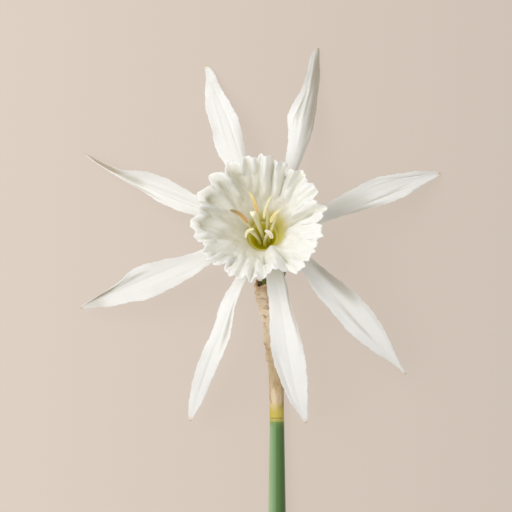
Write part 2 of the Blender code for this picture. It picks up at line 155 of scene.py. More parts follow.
def ramp(tree, factor, stops):
    """A colour ramp over a factor from 0 to 1; stops are (place, (red, green, blue))."""
    node = put(tree, "ValToRGB", {"Fac": factor})
    elements = node.color_ramp.elements
    while len(elements) < len(stops):
        elements.new(0.5)
    for element, (place, colour) in zip(elements, stops):
        element.position = place
        element.color = (*colour, 1.0)
    return node.outputs["Color"]


def tint(tree, factor, one, other):
    """Blends two colours, each a constant or a socket, by a factor."""
    node = put(tree, "Mix", data_type="RGBA")
    sockets = (node.inputs[0], node.inputs[6], node.inputs[7])
    for socket, value in zip(sockets, (factor, one, other)):
        if isinstance(value, bpy.types.NodeSocket):
            tree.links.new(value, socket)
        else:
            socket.default_value = value if isinstance(value, float) else (*value, 1.0)
    return node.outputs[2]


print("nodes can be laid out")

# %% Helpers to read a place, a pattern or a kept value


def uv_shares(tree):
    """The UV map and its two shares: along the rings, and round each ring."""
    place = put(tree, "UVMap", uv_map="UVMap")
    split = put(tree, "SeparateXYZ", {"Vector": place.outputs["UV"]})
    return place.outputs["UV"], split.outputs["X"], split.outputs["Y"]


def streaks(tree, place, stretch, detail=3.0):
    """Soft noise drawn out into streaks by a different scale along and round the piece."""
    moved = put(tree, "Mapping", {"Vector": place, "Scale": stretch})
    noise = put(tree, "TexNoise", {"Vector": moved.outputs["Vector"], "Scale": 1.0, "Detail": detail})
    return noise.outputs["Fac"]


def spread(tree, factor, low, high):
    """Maps a factor from 0..1 to low..high."""
    return put(tree, "MapRange", {"Value": factor, "To Min": low, "To Max": high}).outputs["Result"]


def rising(tree, value, start, end, top=1.0):
    """Goes from 0 to a top while a value goes from start to end."""
    limits = {"Value": value, "From Min": start, "From Max": end, "To Max": top}
    return put(tree, "MapRange", limits).outputs["Result"]


def folded(tree, share):
    """A share that runs out and back again: 0 at both its ends and 1 in its middle."""
    return put(tree, "Math", {0: spread(tree, share, 0.0, 2.0), 1: 1.0}, operation="PINGPONG").outputs[0]


def across_table(tree):
    """How far to the right a point lies on the table, in metres."""
    spot = put(tree, "TexCoord").outputs["Object"]
    return put(tree, "SeparateXYZ", {"Vector": spot}).outputs["X"]


def kept_value(tree, name):
    """A value that the skin carries on its points."""
    return put(tree, "Attribute", attribute_name=name).outputs["Fac"]


print("patterns can be read")

# %% Helpers to put the result on the shader


def coat(tree, shader, colour, grain, smooth, rough):
    """Puts a colour on the shader, and a roughness that follows a grain from smooth to rough."""
    tree.links.new(colour, shader.inputs["Base Color"])
    tree.links.new(spread(tree, grain, smooth, rough), shader.inputs["Roughness"])


def relief(tree, shader, height, strength, depth):
    """Fine relief from a height between 0 and 1, as deep as given."""
    bump = put(tree, "Bump", {"Height": height, "Strength": strength, "Distance": depth})
    tree.links.new(bump.outputs["Normal"], shader.inputs["Normal"])


print("finish helpers ready")

# %% [markdown]
# ## Floor and light
#
# The flower is shown against a plain warm wall in soft light from the upper left. A pale table
# takes the wall's place. One wide lamp on the left gives the soft shading across cup and
# petals, and an even pale sky fills the shadows. The standard view keeps the whites white.
# The wall is far behind the flower and hardly catches its shadow. The table is close, so a part
# of its brightness is its own light, which leaves only a faint shadow on it.

# %% The pale table
FLOOR_HALF = 1.5
FLOOR_DROP = 0.05 * MM
FLOOR_COLOUR = (0.090, 0.078, 0.067, 1.0)
FLOOR_GLOW = (0.608, 0.525, 0.453, 1.0)
# Where across the table its own light is set, and how strong it is at either place: the glow is
# painted brighter on the left, towards the lamp.
GLOW_LEFT, GLOW_RIGHT = -0.07, 0.07
GLOW_AT_LEFT, GLOW_AT_RIGHT = 1.02, 0.87

floor_mesh = bpy.data.meshes.new("floor")
corners = np.array([(-1, -1), (1, -1), (1, 1), (-1, 1)]) * FLOOR_HALF
floor_mesh.from_pydata([(x, y, -FLOOR_DROP) for x, y in corners], [], [(0, 1, 2, 3)])
floor = add("floor", floor_mesh)
floor_finish, tree, shader = new_finish(
    "glowing_pale_table", Base_Color=FLOOR_COLOUR, Roughness=0.9, Emission_Color=FLOOR_GLOW,
)
glow = put(tree, "MapRange", {
    "Value": across_table(tree), "From Min": GLOW_LEFT, "From Max": GLOW_RIGHT,
    "To Min": GLOW_AT_LEFT, "To Max": GLOW_AT_RIGHT,
})
tree.links.new(glow.outputs["Result"], shader.inputs["Emission Strength"])
floor_mesh.materials.append(floor_finish)
print("the table is", 2 * FLOOR_HALF, "m wide")

# %% Lamp and sky
KEY_PLACE = (-0.60, 0.32, 0.95)
KEY_SIZE = 0.8
KEY_POWER = 9.0
SKY_COLOUR = (1.0, 0.985, 0.96, 1.0)
SKY_STRENGTH = 0.55

key = add("key", bpy.data.lights.new("key", "AREA"))
key.data.size = KEY_SIZE
key.data.energy = KEY_POWER
key.location = KEY_PLACE
toward = Vector(HEART) - key.location
key.rotation_euler = toward.to_track_quat("-Z", "Y").to_euler()

world = bpy.data.worlds.new("sky")
world.use_nodes = True
sky = world.node_tree.nodes["Background"]
sky.inputs["Color"].default_value = SKY_COLOUR
sky.inputs["Strength"].default_value = SKY_STRENGTH
bpy.context.scene.world = world
bpy.context.scene.view_settings.view_transform = "Standard"
print("lamp", KEY_POWER, "W at", KEY_PLACE)

# %% [markdown]
# ## One helper for every skin
#
# A petal, a cup wall, a stem and a stamen are all the same kind of thing to a mesh: rings of
# points, each ring joined to the next. So one helper makes them all. It takes a grid of points,
# where `rings[i, j]` is point j of ring i, and builds all faces from whole arrays of numbers.
# Ends are closed with a fan, or the last ring is joined back to the first, as in the wall of a
# cup, so every skin is closed and can be printed. The volume tells whether faces point outwards.

# %% Faces between rings, and fans that close the ends


def cells(rows, columns, loop):
    """Corner numbers of the quads between neighbouring rings, and their (along, round) shares."""
    row = np.arange(rows if loop else rows - 1)[:, None]
    column = np.arange(columns)[None, :]
    after, beside = (row + 1) % rows, (column + 1) % columns
    corner = [(row, column), (row, beside), (after, beside), (after, column)]
    quads = np.stack([a * columns + b for a, b in corner], axis=-1).reshape(-1, 4)
    length = rows if loop else rows - 1
    steps = [(0, 0), (0, 1), (1, 1), (1, 0)]
    shares = [
        np.stack(np.broadcast_arrays((row + a) / length, (column + b) / columns), -1) for a, b in steps
    ]
    return quads, np.stack(shares, axis=-2).reshape(-1, 4, 2)


def fans(rows, columns):
    """Triangles from each end ring to the middle point that closes it, and their shares."""
    column = np.arange(columns)
    beside = (column + 1) % columns
    last = (rows - 1) * columns
    first_pole, last_pole = rows * columns, rows * columns + 1
    opening = np.stack([np.full(columns, first_pole), beside, column], axis=-1)
    closing = np.stack([np.full(columns, last_pole), last + column, last + beside], axis=-1)
    place, place_beside = column / columns, (column + 1) / columns
    middle = (place + place_beside) / 2
    opened = np.stack([np.stack([np.zeros(columns), v], -1) for v in (middle, place_beside, place)], -2)
    closed = np.stack([np.stack([np.ones(columns), v], -1) for v in (middle, place, place_beside)], -2)
    return np.concatenate([opening, closing]), np.concatenate([opened, closed])


print("3 rings of 4 points:", len(cells(3, 4, False)[0]), "quads,", len(fans(3, 4)[0]), "triangles")

# %% A closed mesh over the rings


def volume(points, faces):
    """Signed volume inside the faces: each face's corners span pyramids with the origin."""
    first, others = points[faces[:, 0]], [points[faces[:, k]] for k in range(1, faces.shape[1])]
    pyramids = [np.einsum("ij,ij->i", first, np.cross(b, c)) for b, c in zip(others, others[1:])]
    return sum(part.sum() for part in pyramids) / 6


def skin(name, rings, loop=False, **values):
    """A closed mesh object over the rings, with their shares along and round as its UV map.

    Values, one for each point of the rings, become an attribute of the name they are given by.
    """
    rows, columns = rings.shape[:2]
    points = rings.reshape(-1, 3)
    quads, quad_shares = cells(rows, columns, loop)
    faces, shares = [quads], [quad_shares]
    if not loop:
        points = np.concatenate([points, [rings[0].mean(0), rings[-1].mean(0)]])
        fan, fan_shares = fans(rows, columns)
        faces.append(fan)
        shares.append(fan_shares)
    if sum(volume(points, group) for group in faces) < 0:
        faces = [group[:, ::-1] for group in faces]
        shares = [group[:, ::-1] for group in shares]
    mesh = bpy.data.meshes.new(name)
    mesh.vertices.add(len(points))
    mesh.vertices.foreach_set("co", points.astype(np.float32).ravel())
    corners = np.concatenate([group.ravel() for group in faces])
    sizes = np.concatenate([np.full(len(group), group.shape[1]) for group in faces])
    mesh.loops.add(len(corners))
    mesh.loops.foreach_set("vertex_index", corners.astype(np.int32))
    mesh.polygons.add(len(sizes))
    mesh.polygons.foreach_set("loop_start", (np.cumsum(sizes) - sizes).astype(np.int32))
    uv = mesh.uv_layers.new(name="UVMap")
    flat_shares = np.concatenate([group.reshape(-1, 2) for group in shares])
    uv.data.foreach_set("uv", flat_shares.astype(np.float32).ravel())
    mesh.update(calc_edges=True)
    mesh.validate()
    mesh.shade_smooth()
    for label, value in values.items():
        each = np.resize(value.ravel(), len(points)).astype(np.float32)
        mesh.attributes.new(label, "FLOAT", "POINT").data.foreach_set("value", each)
    return add(name, mesh)


print("skins are closed, smooth and carry a UV map")

# %% Dressing and measuring a piece


def dress(piece, node, finish):
    """The piece stands for a CAD node, rides on the one body and wears a finish."""
    piece.data.materials.append(finish)
    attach(piece, "root")
    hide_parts(node)


def report(piece):
    """Prints how large a piece is and how many triangles it has."""
    places = np.zeros(len(piece.data.vertices) * 3, np.float32)
    piece.data.vertices.foreach_get("co", places)
    places = places.reshape(-1, 3)
    size = ((places.max(0) - places.min(0)) / MM).round(1)
    triangles = len(piece.data.loops) - 2 * len(piece.data.polygons)
    print(f"{piece.name}: {size} mm, {triangles} triangles")


print("every piece rides on the one body")

# %% [markdown]
# ## Sheets and lines
#
# Petals, cup and sheath are thin sheets. Each is first a middle surface with no thickness.
# Solidify could thicken it, but a petal is thick along its midrib and fine at its edge, so the
# two faces are laid here, half a thickness to either side along the sheet's own normal. Lines
# for stems and threads are smooth curves through a few points.

# %% Smooth curves


def unit(vectors):
    """The same directions, each one long."""
    return vectors / np.maximum(np.linalg.norm(vectors, axis=-1, keepdims=True), 1e-12)


def bezier(controls, share):
    """Point and direction of a cubic Bezier curve at each share from 0 to 1."""
    t = np.asarray(share, float)[..., None]
    a, b, c, d = (np.asarray(p, float) for p in controls)
    point = (1 - t) ** 3 * a + 3 * (1 - t) ** 2 * t * b + 3 * (1 - t) * t**2 * c + t**3 * d
    along = 3 * (1 - t) ** 2 * (b - a) + 6 * (1 - t) * t * (c - b) + 3 * t**2 * (d - c)
    return point, unit(along)


def smooth_path(points, share):
    """A smooth curve through the points; place and radius, all columns alike, follow it.

    Between two points it is a cubic, and at each point it runs parallel to the line that joins
    the points before and after it.
    """
    rows = np.asarray(points, float)
    padded = np.vstack([2 * rows[0] - rows[1], rows, 2 * rows[-1] - rows[-2]])
    spans = len(rows) - 1
    where = np.clip(np.asarray(share, float) * spans, 0, spans - 1e-9)
    first = where.astype(int)
    t = (where - first)[..., None]
    p0, p1, p2, p3 = (padded[first + step] for step in range(4))
    return 0.5 * (
        2 * p1 + (p2 - p0) * t + (2 * p0 - 5 * p1 + 4 * p2 - p3) * t**2
        + (3 * p1 - p0 - 3 * p2 + p3) * t**3
    )


bow = ((0, 0, 0), (0, 0, 1), (1, 0, 1), (1, 0, 0))
print("halfway along a bow:", bezier(bow, 0.5)[0])

# %% Normals of a sheet, rings along a line


def sheet_normals(sheet):
    """Unit normals of a grid of points: the cross product of its two directions."""
    return unit(np.cross(np.gradient(sheet, axis=0), np.gradient(sheet, axis=1)))


def carry(path, radii, sides, towards):
    """Rings of a profile carried along a path.

    Ring i is centred on path[i] and square to the path. radii holds one radius for each ring, or
    one for each point of each ring. The profile's angle starts at right angles to `towards`.
    """
    along = unit(np.gradient(path, axis=0))
    side = unit(np.cross(towards, along))
    up = np.cross(along, side)
    turn = np.linspace(0, 2 * math.pi, sides, endpoint=False)
    spokes = side[:, None] * np.cos(turn)[:, None] + up[:, None] * np.sin(turn)[:, None]
    radii = np.broadcast_to(np.reshape(radii, (len(path), -1)), (len(path), sides))
    return path[:, None] + spokes * radii[..., None]


flat_sheet = np.stack([*np.indices((2, 2)), np.zeros((2, 2))], axis=-1)
print("a flat sheet faces", sheet_normals(flat_sheet)[0, 0])

# %% [markdown]
# ## The petals' finish
#
# A petal is satin white, a little translucent, with fine veins that run from its root to its
# tip. It is grey-green where it leaves the tube and ends in a tiny dry point. Light goes a
# little way into it, so the shader scatters light under the surface instead of stopping it.
# Where shade is painted on a petal it turns grey first, and tan where the painted shade is deepest.

# %% Satin white
SCATTER = (1.0, 0.95, 0.80)
WHITE = (0.89, 0.89, 0.86)

petal_finish, tree, shader = new_finish(
    "petal_satin_white",
    Subsurface_Weight=0.35, Subsurface_Radius=SCATTER, Subsurface_Scale=0.8 * MM,
    IOR=1.42, Specular_IOR_Level=0.4, Sheen_Weight=0.08, Sheen_Roughness=0.5,
)
place, along = uv_shares(tree)[:2]
veins = streaks(tree, place, (2.5, 90.0, 1.0))
mottle = streaks(tree, place, (6.0, 14.0, 1.0), 2.0)
body = ramp(tree, along, [
    (0.0, (0.50, 0.55, 0.36)), (0.06, (0.74, 0.75, 0.66)), (0.15, WHITE), (0.965, WHITE),
    (0.988, (0.80, 0.73, 0.62)), (1.0, (0.62, 0.47, 0.34)),
])
veined = tint(tree, spread(tree, veins, 0.0, 0.07), body, (0.70, 0.715, 0.68))
mottled = tint(tree, spread(tree, mottle, 0.0, 0.10), veined, (0.93, 0.90, 0.84))
# Painted shade: where the skin carries it, the white is mixed towards grey and then tan.
painted_shade = kept_value(tree, "Dull")
painted_shade_colour = ramp(tree, painted_shade, [
    (0.0, (0.46, 0.44, 0.37)), (0.6, (0.44, 0.41, 0.33)), (1.0, (0.46, 0.38, 0.27)),
])
coat(tree, shader, tint(tree, painted_shade, mottled, painted_shade_colour), veins, 0.36, 0.55)
relief(tree, shader, veins, 0.4, 0.03 * MM)
print("made", petal_finish.name)

# %% [markdown]
# ## Petals
#
# A petal is a long blade, and no two are alike: one is rolled on its side, one closes to a
# channel towards its tip, one has a shoulder. Its spine is one Bezier curve from the tube's rim
# out to its tip. Across the spine lies a bar that rolls from root to tip and whose two sides
# rise or fall. Half widths left and right are listed at seven stations, measured on the
# photograph; a smooth curve through them is the petal's outline. These are the solids' own
# numbers, so each skin stays where its solid is; only petal 7 has a wider root here, as it has
# on the photograph. On top comes what only the skin needs: parallel ribs, single creases where
# the photograph shows them, and an edge that waves and is a little ragged.

# %% The eight petals' numbers
# The first petal's root is here (degrees), and the others follow at equal steps.
PETAL_ROOT_TURN = 18.0
# Half widths at the root and at the point (mm).
PETAL_ROOT_HALF = 1.8
PETAL_POINT_HALF = 0.3
# The spine's Bezier arms, as a share of the way from root to tip.
PETAL_ARM = 0.36
# The stations stand closer together towards the tip.
STATION_CROWDING = 1.3
# Where the three rises of a side hold, as shares along, and how they grow towards the edge.
RISE_SHARES = (0.15, 0.55, 0.90)
RISE_CURVE = 1.5
# The roll grows along the petal with this power of its share.
ROLL_CURVE = 1.5
# Roots in two rows, by turns: distance from the axis, height.
INNER_ROOT = (5.6 * MM, 0.5 * MM)
OUTER_ROOT = (5.8 * MM, -0.9 * MM)
# Direction and reach of the tip (degrees, mm), its height over the table, slopes at root and
# tip, sideways sway, roll at root and tip; half widths (mm) left and right at the stations; how
# much each side rises for its half width near the root, in the middle and near the tip.
PETALS = [
    dict(turn=19.5, reach=53.8, tip=0.5, lift=8, droop=34, sway=-8, roll=(-6, -4),
         left=(1.9, 2.8, 3.5, 4.0, 3.1, 2.2, 1.2), right=(1.9, 2.2, 3.1, 3.9, 3.7, 2.4, 1.2),
         left_rise=(0.10, 0.15, 0.30), right_rise=(-0.70, 0.10, 0.50)),
    dict(turn=73.5, reach=56.1, tip=0.9, lift=10, droop=22, sway=8, roll=(5, 50),
         left=(1.6, 2.0, 2.9, 4.0, 2.7, 2.1, 1.7), right=(1.8, 2.3, 3.0, 3.4, 2.8, 2.1, 1.1),
         left_rise=(-0.20, -0.50, 0.0), right_rise=(-0.20, -0.30, -0.20)),
    dict(turn=108.5, reach=51.6, tip=0.5, lift=10, droop=26, sway=-2, roll=(0, 6),
         left=(2.0, 3.3, 4.7, 4.0, 3.8, 2.4, 0.8), right=(2.0, 2.3, 3.4, 4.1, 3.3, 2.2, 1.8),
         left_rise=(0.05, 0.10, 0.20), right_rise=(-0.50, 0.0, 0.10)),
    dict(turn=155.0, reach=56.2, tip=0.5, lift=10, droop=34, sway=-14, roll=(-10, -26),
         left=(2.2, 3.1, 2.8, 1.5, 0.8, 0.4, 0.35), right=(1.9, 2.8, 4.2, 4.1, 2.0, 1.5, 1.2),
         left_rise=(0.10, 0.10, 0.10), right_rise=(0.10, 0.20, 1.10)),
    dict(turn=201.5, reach=55.7, tip=4.5, lift=10, droop=34, sway=4, roll=(-6, -18),
         left=(2.3, 4.2, 5.3, 5.5, 4.0, 3.0, 1.3), right=(1.8, 1.9, 3.2, 3.8, 2.0, 1.4, 0.8),
         left_rise=(0.10, 0.15, 0.20), right_rise=(0.10, 0.10, 0.50)),
    dict(turn=248.5, reach=56.0, tip=9.0, lift=10, droop=30, sway=1, roll=(4, 0),
         left=(1.3, 1.5, 2.9, 2.6, 2.0, 1.6, 0.8), right=(1.6, 2.7, 2.3, 3.0, 3.2, 2.7, 1.7),
         left_rise=(0.30, 0.30, 0.20), right_rise=(-0.10, -0.10, 0.0)),
    dict(turn=283.0, reach=53.8, tip=11.5, lift=12, droop=26, sway=9, roll=(6, 8),
         left=(2.9, 3.1, 4.1, 4.6, 4.1, 2.9, 1.6), right=(2.5, 3.1, 4.0, 4.2, 3.4, 2.4, 1.0),
         left_rise=(0.15, 0.25, 0.20), right_rise=(0.15, 0.25, 0.20)),
    dict(turn=316.0, reach=56.0, tip=8.5, lift=10, droop=32, sway=-6, roll=(10, 12),
         left=(1.7, 2.1, 3.2, 3.7, 3.0, 1.7, 0.6), right=(2.2, 4.2, 4.6, 4.8, 3.6, 2.0, 0.6),
         left_rise=(-1.10, -0.20, 0.30), right_rise=(0.30, 0.30, 0.20)),
]
# Creases of each petal: from and to (share along), from and to (place across, left is
# positive), height (mm, a groove is negative), half width (of the petal's half width).
PETAL_CREASES = [
    [(0.56, 0.94, 0.77, 0.36, -0.38, 0.09), (0.46, 0.82, -0.58, -0.22, -0.46, 0.10),
     (0.70, 0.98, -0.85, -0.80, 0.22, 0.16)],
    [(0.50, 0.73, 0.80, 0.46, 0.30, 0.07), (0.50, 0.76, 0.52, 0.30, 0.24, 0.07),
     (0.40, 0.98, 0.05, 0.50, 0.30, 0.14), (0.45, 0.80, -0.80, -0.75, 0.25, 0.12)],
    [(0.35, 0.92, -0.32, -0.20, -0.14, 0.10), (0.40, 0.85, 0.38, 0.30, 0.10, 0.12)],
    [(0.20, 0.62, 0.30, 0.20, -0.14, 0.10), (0.25, 0.68, -0.35, -0.30, 0.12, 0.12),
     (0.66, 0.99, 0.60, 0.60, 0.16, 0.30)],
    [(0.62, 0.96, -0.60, -0.50, -0.34, 0.13), (0.62, 0.96, -0.92, -0.88, 0.20, 0.10),
     (0.20, 0.80, 0.42, 0.50, 0.06, 0.14), (0.30, 0.78, 0.10, 0.0, -0.05, 0.12)],
    [(0.26, 0.54, 0.55, 0.60, -0.50, 0.18), (0.50, 0.92, -0.10, -0.20, -0.14, 0.12)],
    [(0.15, 0.92, 0.12, 0.0, -0.08, 0.09), (0.55, 0.92, -0.62, -0.55, -0.20, 0.12),
     (0.05, 0.60, 0.80, 0.70, 0.30, 0.10), (0.25, 0.88, 0.52, 0.45, 0.06, 0.12)],
    [(0.38, 0.74, -0.48, -0.18, -0.32, 0.09), (0.38, 0.74, -0.64, -0.38, 0.20, 0.10),
     (0.12, 0.52, -0.85, -0.80, 0.34, 0.15)],
]
print(len(PETALS), "petals,", sum(len(creases) for creases in PETAL_CREASES), "creases")

# %% [markdown]
# ## Painted shade on the petals
#
# No petal is evenly white. Its rolled side, its tip or the bottom of a crease is painted greyer
# than the rest, as painted shade, and the painted shade fades out at its thin edge, which stays
# pale. Each petal has a few soft spots of painted shade, placed by the photograph.

# %% Painted shade spots of the petals
# Each petal: how much painted shade it has as a whole; then spots of painted shade as share along,
# half length, place across, half width (of the petal's half width) and strength.
PETAL_SHADES = [
    (0.04, [(0.38, 0.14, -0.4, 1.2, 0.35), (0.46, 0.14, -0.98, 0.30, 0.60),
            (0.72, 0.20, 0.52, 0.06, 0.35), (0.62, 0.16, -0.42, 0.07, 0.45)]),
    (0.06, [(0.72, 0.30, -0.62, 0.55, 0.70), (0.88, 0.17, -0.38, 0.95, 0.75),
            (0.44, 0.20, -0.80, 0.35, 0.50), (0.66, 0.12, 0.50, 0.10, 0.60),
            (0.70, 0.16, 0.15, 0.10, 0.50)]),
    (0.02, [(0.60, 0.24, -0.30, 0.08, 0.20), (0.34, 0.18, -0.85, 0.25, 0.35),
            (0.84, 0.08, -0.30, 0.45, 0.15)]),
    (0.15, [(0.85, 0.16, -0.40, 0.75, 0.80), (0.68, 0.10, -0.05, 0.50, 0.50),
            (0.60, 0.14, 0.70, 0.14, 0.40)]),
    (0.13, [(0.84, 0.13, -0.60, 0.38, 0.75), (0.66, 0.12, -0.45, 0.14, 0.50),
            (0.92, 0.08, 0.3, 0.7, 0.35)]),
    (0.04, [(0.42, 0.14, 0.60, 0.22, 0.50), (0.72, 0.20, -0.15, 0.08, 0.15)]),
    (0.0, [(0.32, 0.20, 0.93, 0.13, 0.70), (0.72, 0.16, -0.80, 0.16, 0.25)]),
    (0.0, [(0.34, 0.17, 0.66, 0.62, 0.68), (0.60, 0.20, 0.85, 0.20, 0.25),
           (0.56, 0.18, -0.34, 0.10, 0.35)]),
]
# Over this last share of the half width the painted shade fades out, a painted pale edge line.
PALE_EDGE = 0.035


def petal_shade(number, share, across):
    """How much shade is painted on the petal, from 0 to 1.

    It is the whole petal's painted shade, or more by strength * exp(-distance ** 4) round a spot,
    and fades to 0 over the last PALE_EDGE of the half width, which paints a pale edge line.
    """
    whole_shade, spots = PETAL_SHADES[number]
    shade = np.full(np.broadcast_shapes(share.shape, across.shape), whole_shade)
    for middle, length, place, width, strength in spots:
        away = ((share - middle) / length) ** 2 + ((across - place) / width) ** 2
        shade = np.maximum(shade, whole_shade + strength * np.exp(-(away**2)))
    return shade * np.clip((1 - np.abs(across)) / PALE_EDGE, 0, 1)


print("painted shade spots:", sum(len(spots) for whole_shade, spots in PETAL_SHADES))

# %% [markdown]
# ## A petal's surface
#
# Now the numbers become a surface. A place on a petal is given by how far along and how far
# across it lies, and one formula answers for all places at once. It could be modelled as a flat
# blade and bent by modifiers, but then its tip would not land on the measured spot.

# %% A petal's outline and its small folds
RIB_COUNTS = (3.7, 6.1, 9.4)
RIB_HEIGHT = 0.007 * MM
RIB_DRIFT = 0.08
MIDRIB_WIDTH = 0.07
MIDRIB_DEPTH = 0.03 * MM
# The edge rises and falls in a slow and a quick wave; the quick one has this share of the height.
EDGE_WAVE = 0.26 * MM
EDGE_WAVES = (2.3, 5.9)
QUICK_WAVE = 0.45
# The waves start elsewhere on each next petal (turns) and on its other edge (radians).
NEXT_PETAL_SHIFT = 0.37
OTHER_EDGE_SHIFT = 0.9
# The edge's outline: how many rags along the petal, how deep (mm).
EDGE_RAGS = [(9.3, 0.06), (17.1, 0.05), (31.7, 0.04)]
# Creases, waves and rags have their full size where the petal's half is this wide or wider.
FULL_SIZE_FROM = 2.5 * MM


def petal_halves(petal, share):
    """Half widths (left, right) at each share: a smooth curve through root, seven stations and point."""
    sides = np.array([petal["left"], petal["right"]]).T
    rows = np.vstack([np.full(2, PETAL_ROOT_HALF), sides, np.full(2, PETAL_POINT_HALF)]) * MM
    return smooth_path(rows, 1 - (1 - share) ** (1 / STATION_CROWDING))


def heading(turn, slope):
    """A direction given by its turn round the table and its slope, both in radians."""
    return unit(np.array((math.cos(turn), math.sin(turn), math.tan(slope))))


def crease(share, across, along, place, height, width):
    """A fold of height * exp(-(distance / width) ** 2) that fades along as sine ** 0.7."""
    run = (share - along[0]) / (along[1] - along[0])
    centre = place[0] + (place[1] - place[0]) * run
    fade = np.sin(math.pi * np.clip(run, 0, 1)) ** 0.7
    return height * MM * fade * np.exp(-(((across - centre) / width) ** 2))


def petal_details(number, share, across):
    """What the skin adds to the solid's surface: ribs, the midrib, single creases and the edge's waves."""
    drift = RIB_DRIFT * np.sin(5 * share + number)
    ribs = sum(np.cos(2 * math.pi * count * (across + drift) + count * number) for count in RIB_COUNTS)
    midrib = np.exp(-(((across - drift) / MIDRIB_WIDTH) ** 2))
    slow, quick = (
        np.sin(2 * math.pi * (waves * share + NEXT_PETAL_SHIFT * number) + np.sign(across) * OTHER_EDGE_SHIFT)
        for waves in EDGE_WAVES
    )
    wave = np.abs(across) ** 3 * (slow + QUICK_WAVE * quick)
    folds = sum(crease(share, across, item[:2], item[2:4], *item[4:]) for item in PETAL_CREASES[number])
    return RIB_HEIGHT * ribs - MIDRIB_DEPTH * midrib + EDGE_WAVE * wave + folds


middle_halves = petal_halves(PETALS[0], np.array([0.5])) / MM
print("half widths of petal 1 at its middle in mm:", middle_halves.round(2))

# %% A petal's middle surface


def petal_sheet(number, petal, share, across):
    """Points of a petal's middle surface; share runs from root to tip, across from -1 to 1.

    A point lies at half * across along the bar, and above it by half * rise * |across| **
    RISE_CURVE and the skin's own details.
    """
    root_turn = math.radians(PETAL_ROOT_TURN + 360 / len(PETALS) * number)
    radius, height = INNER_ROOT if number % 2 else OUTER_ROOT
    start = leaned(np.array((math.cos(root_turn) * radius, math.sin(root_turn) * radius, height)))
    turn, sway, lift, droop = (math.radians(petal[key]) for key in ("turn", "sway", "lift", "droop"))
    tip = from_heart((math.cos(turn) * petal["reach"], math.sin(turn) * petal["reach"], petal["tip"]))
    first = LEAN @ heading((root_turn + turn) / 2, lift)
    last = heading(turn + sway, -droop)
    arm = PETAL_ARM * np.linalg.norm(tip - start)
    middle, along = bezier((start, start + first * arm, tip - last * arm, tip), share[:, 0])
    side = unit(np.cross(TABLE_UP, along))
    up = np.cross(along, side)
    root_roll, tip_roll = (math.radians(angle) for angle in petal["roll"])
    roll = root_roll + (tip_roll - root_roll) * share**ROLL_CURVE
    leaning = side * np.cos(roll) + up * np.sin(roll)
    facing = up * np.cos(roll) - side * np.sin(roll)
    left, right = petal_halves(petal, share[:, 0]).T
    ragged = sum(
        size * MM * np.sin(2 * math.pi * count * share + count * (number + np.sign(across)))
        for count, size in EDGE_RAGS
    )
    half = np.where(across > 0, left[:, None], right[:, None]) / np.cos(roll)
    half = half + ragged * np.clip(half / FULL_SIZE_FROM, 0, 1) * across**4
    rise = [np.interp(share, RISE_SHARES, petal[key]) for key in ("left_rise", "right_rise")]
    rise = np.where(across > 0, *rise) * np.clip(share / RISE_SHARES[0], 0, 1)
    fullness = np.clip(half / FULL_SIZE_FROM, 0, 1)
    above = half * rise * np.abs(across) ** RISE_CURVE + petal_details(number, share, across) * fullness
    aside = leaning[:, None] * (half * across)[..., None]
    return middle[:, None] + aside + facing[:, None] * above[..., None]


root_and_tip = petal_sheet(0, PETALS[0], np.array([[0.0], [1.0]]), np.array([[0.0]]))[:, 0]
print("root and tip of petal 1 in mm:", (root_and_tip / MM).round(1).tolist())

# %% The petals' two faces
PETAL_ROWS = 170
PETAL_ROW_CROWDING = 0.9
PETAL_COLUMNS = 56
# Thickness at the root's middle, the share of it that is lost by the tip, how it falls to the edge.
PETAL_THICK = 0.52 * MM
PETAL_THINNING = 0.45
PETAL_EDGE_SHAPE = 0.5


def two_faces(sheet, half_thickness):
    """Rings over a sheet's front and back, which share its outer columns, where it has no thickness."""
    offset = sheet_normals(sheet) * half_thickness[..., None]
    return np.concatenate([sheet + offset, (sheet - offset)[:, -2:0:-1]], axis=1)


def make_petal(number, petal):
    """Rings round the blade, crowded towards its edges, from its root to its point.

    Half its thickness falls across it as (1 - across ** 2) ** PETAL_EDGE_SHAPE.
    """
    share = np.linspace(0, 1, PETAL_ROWS)[:, None] ** PETAL_ROW_CROWDING
    across = -np.cos(np.linspace(0, math.pi, PETAL_COLUMNS))[None, :]
    sheet = petal_sheet(number, petal, share, across)
    thinning = 1 - PETAL_THINNING * share
    half = PETAL_THICK / 2 * thinning * np.clip(1 - across**2, 0, 1) ** PETAL_EDGE_SHAPE
    shade = petal_shade(number, share, across)
    painted_shade = np.hstack([shade, shade[:, -2:0:-1]])
    return skin(f"blade_{number + 1}", two_faces(sheet, half), Dull=painted_shade)


for number, petal in enumerate(PETALS):
    piece = make_petal(number, petal)
    dress(piece, f"petal_{number + 1}", petal_finish)
    report(piece)

# %% [markdown]
# ## The cup's finish
#
# The cup is the same white as the petals towards its rim, and turns through cream to yellow-green
# where it runs down into the throat. Its wall is thin enough to glow a little. The UV map's first
# share runs up the inside to the rim and down the outside, so folding it at its half gives the
# share from base to rim on both faces. How green the flesh is, and the shade painted on it, come
# with the skin.

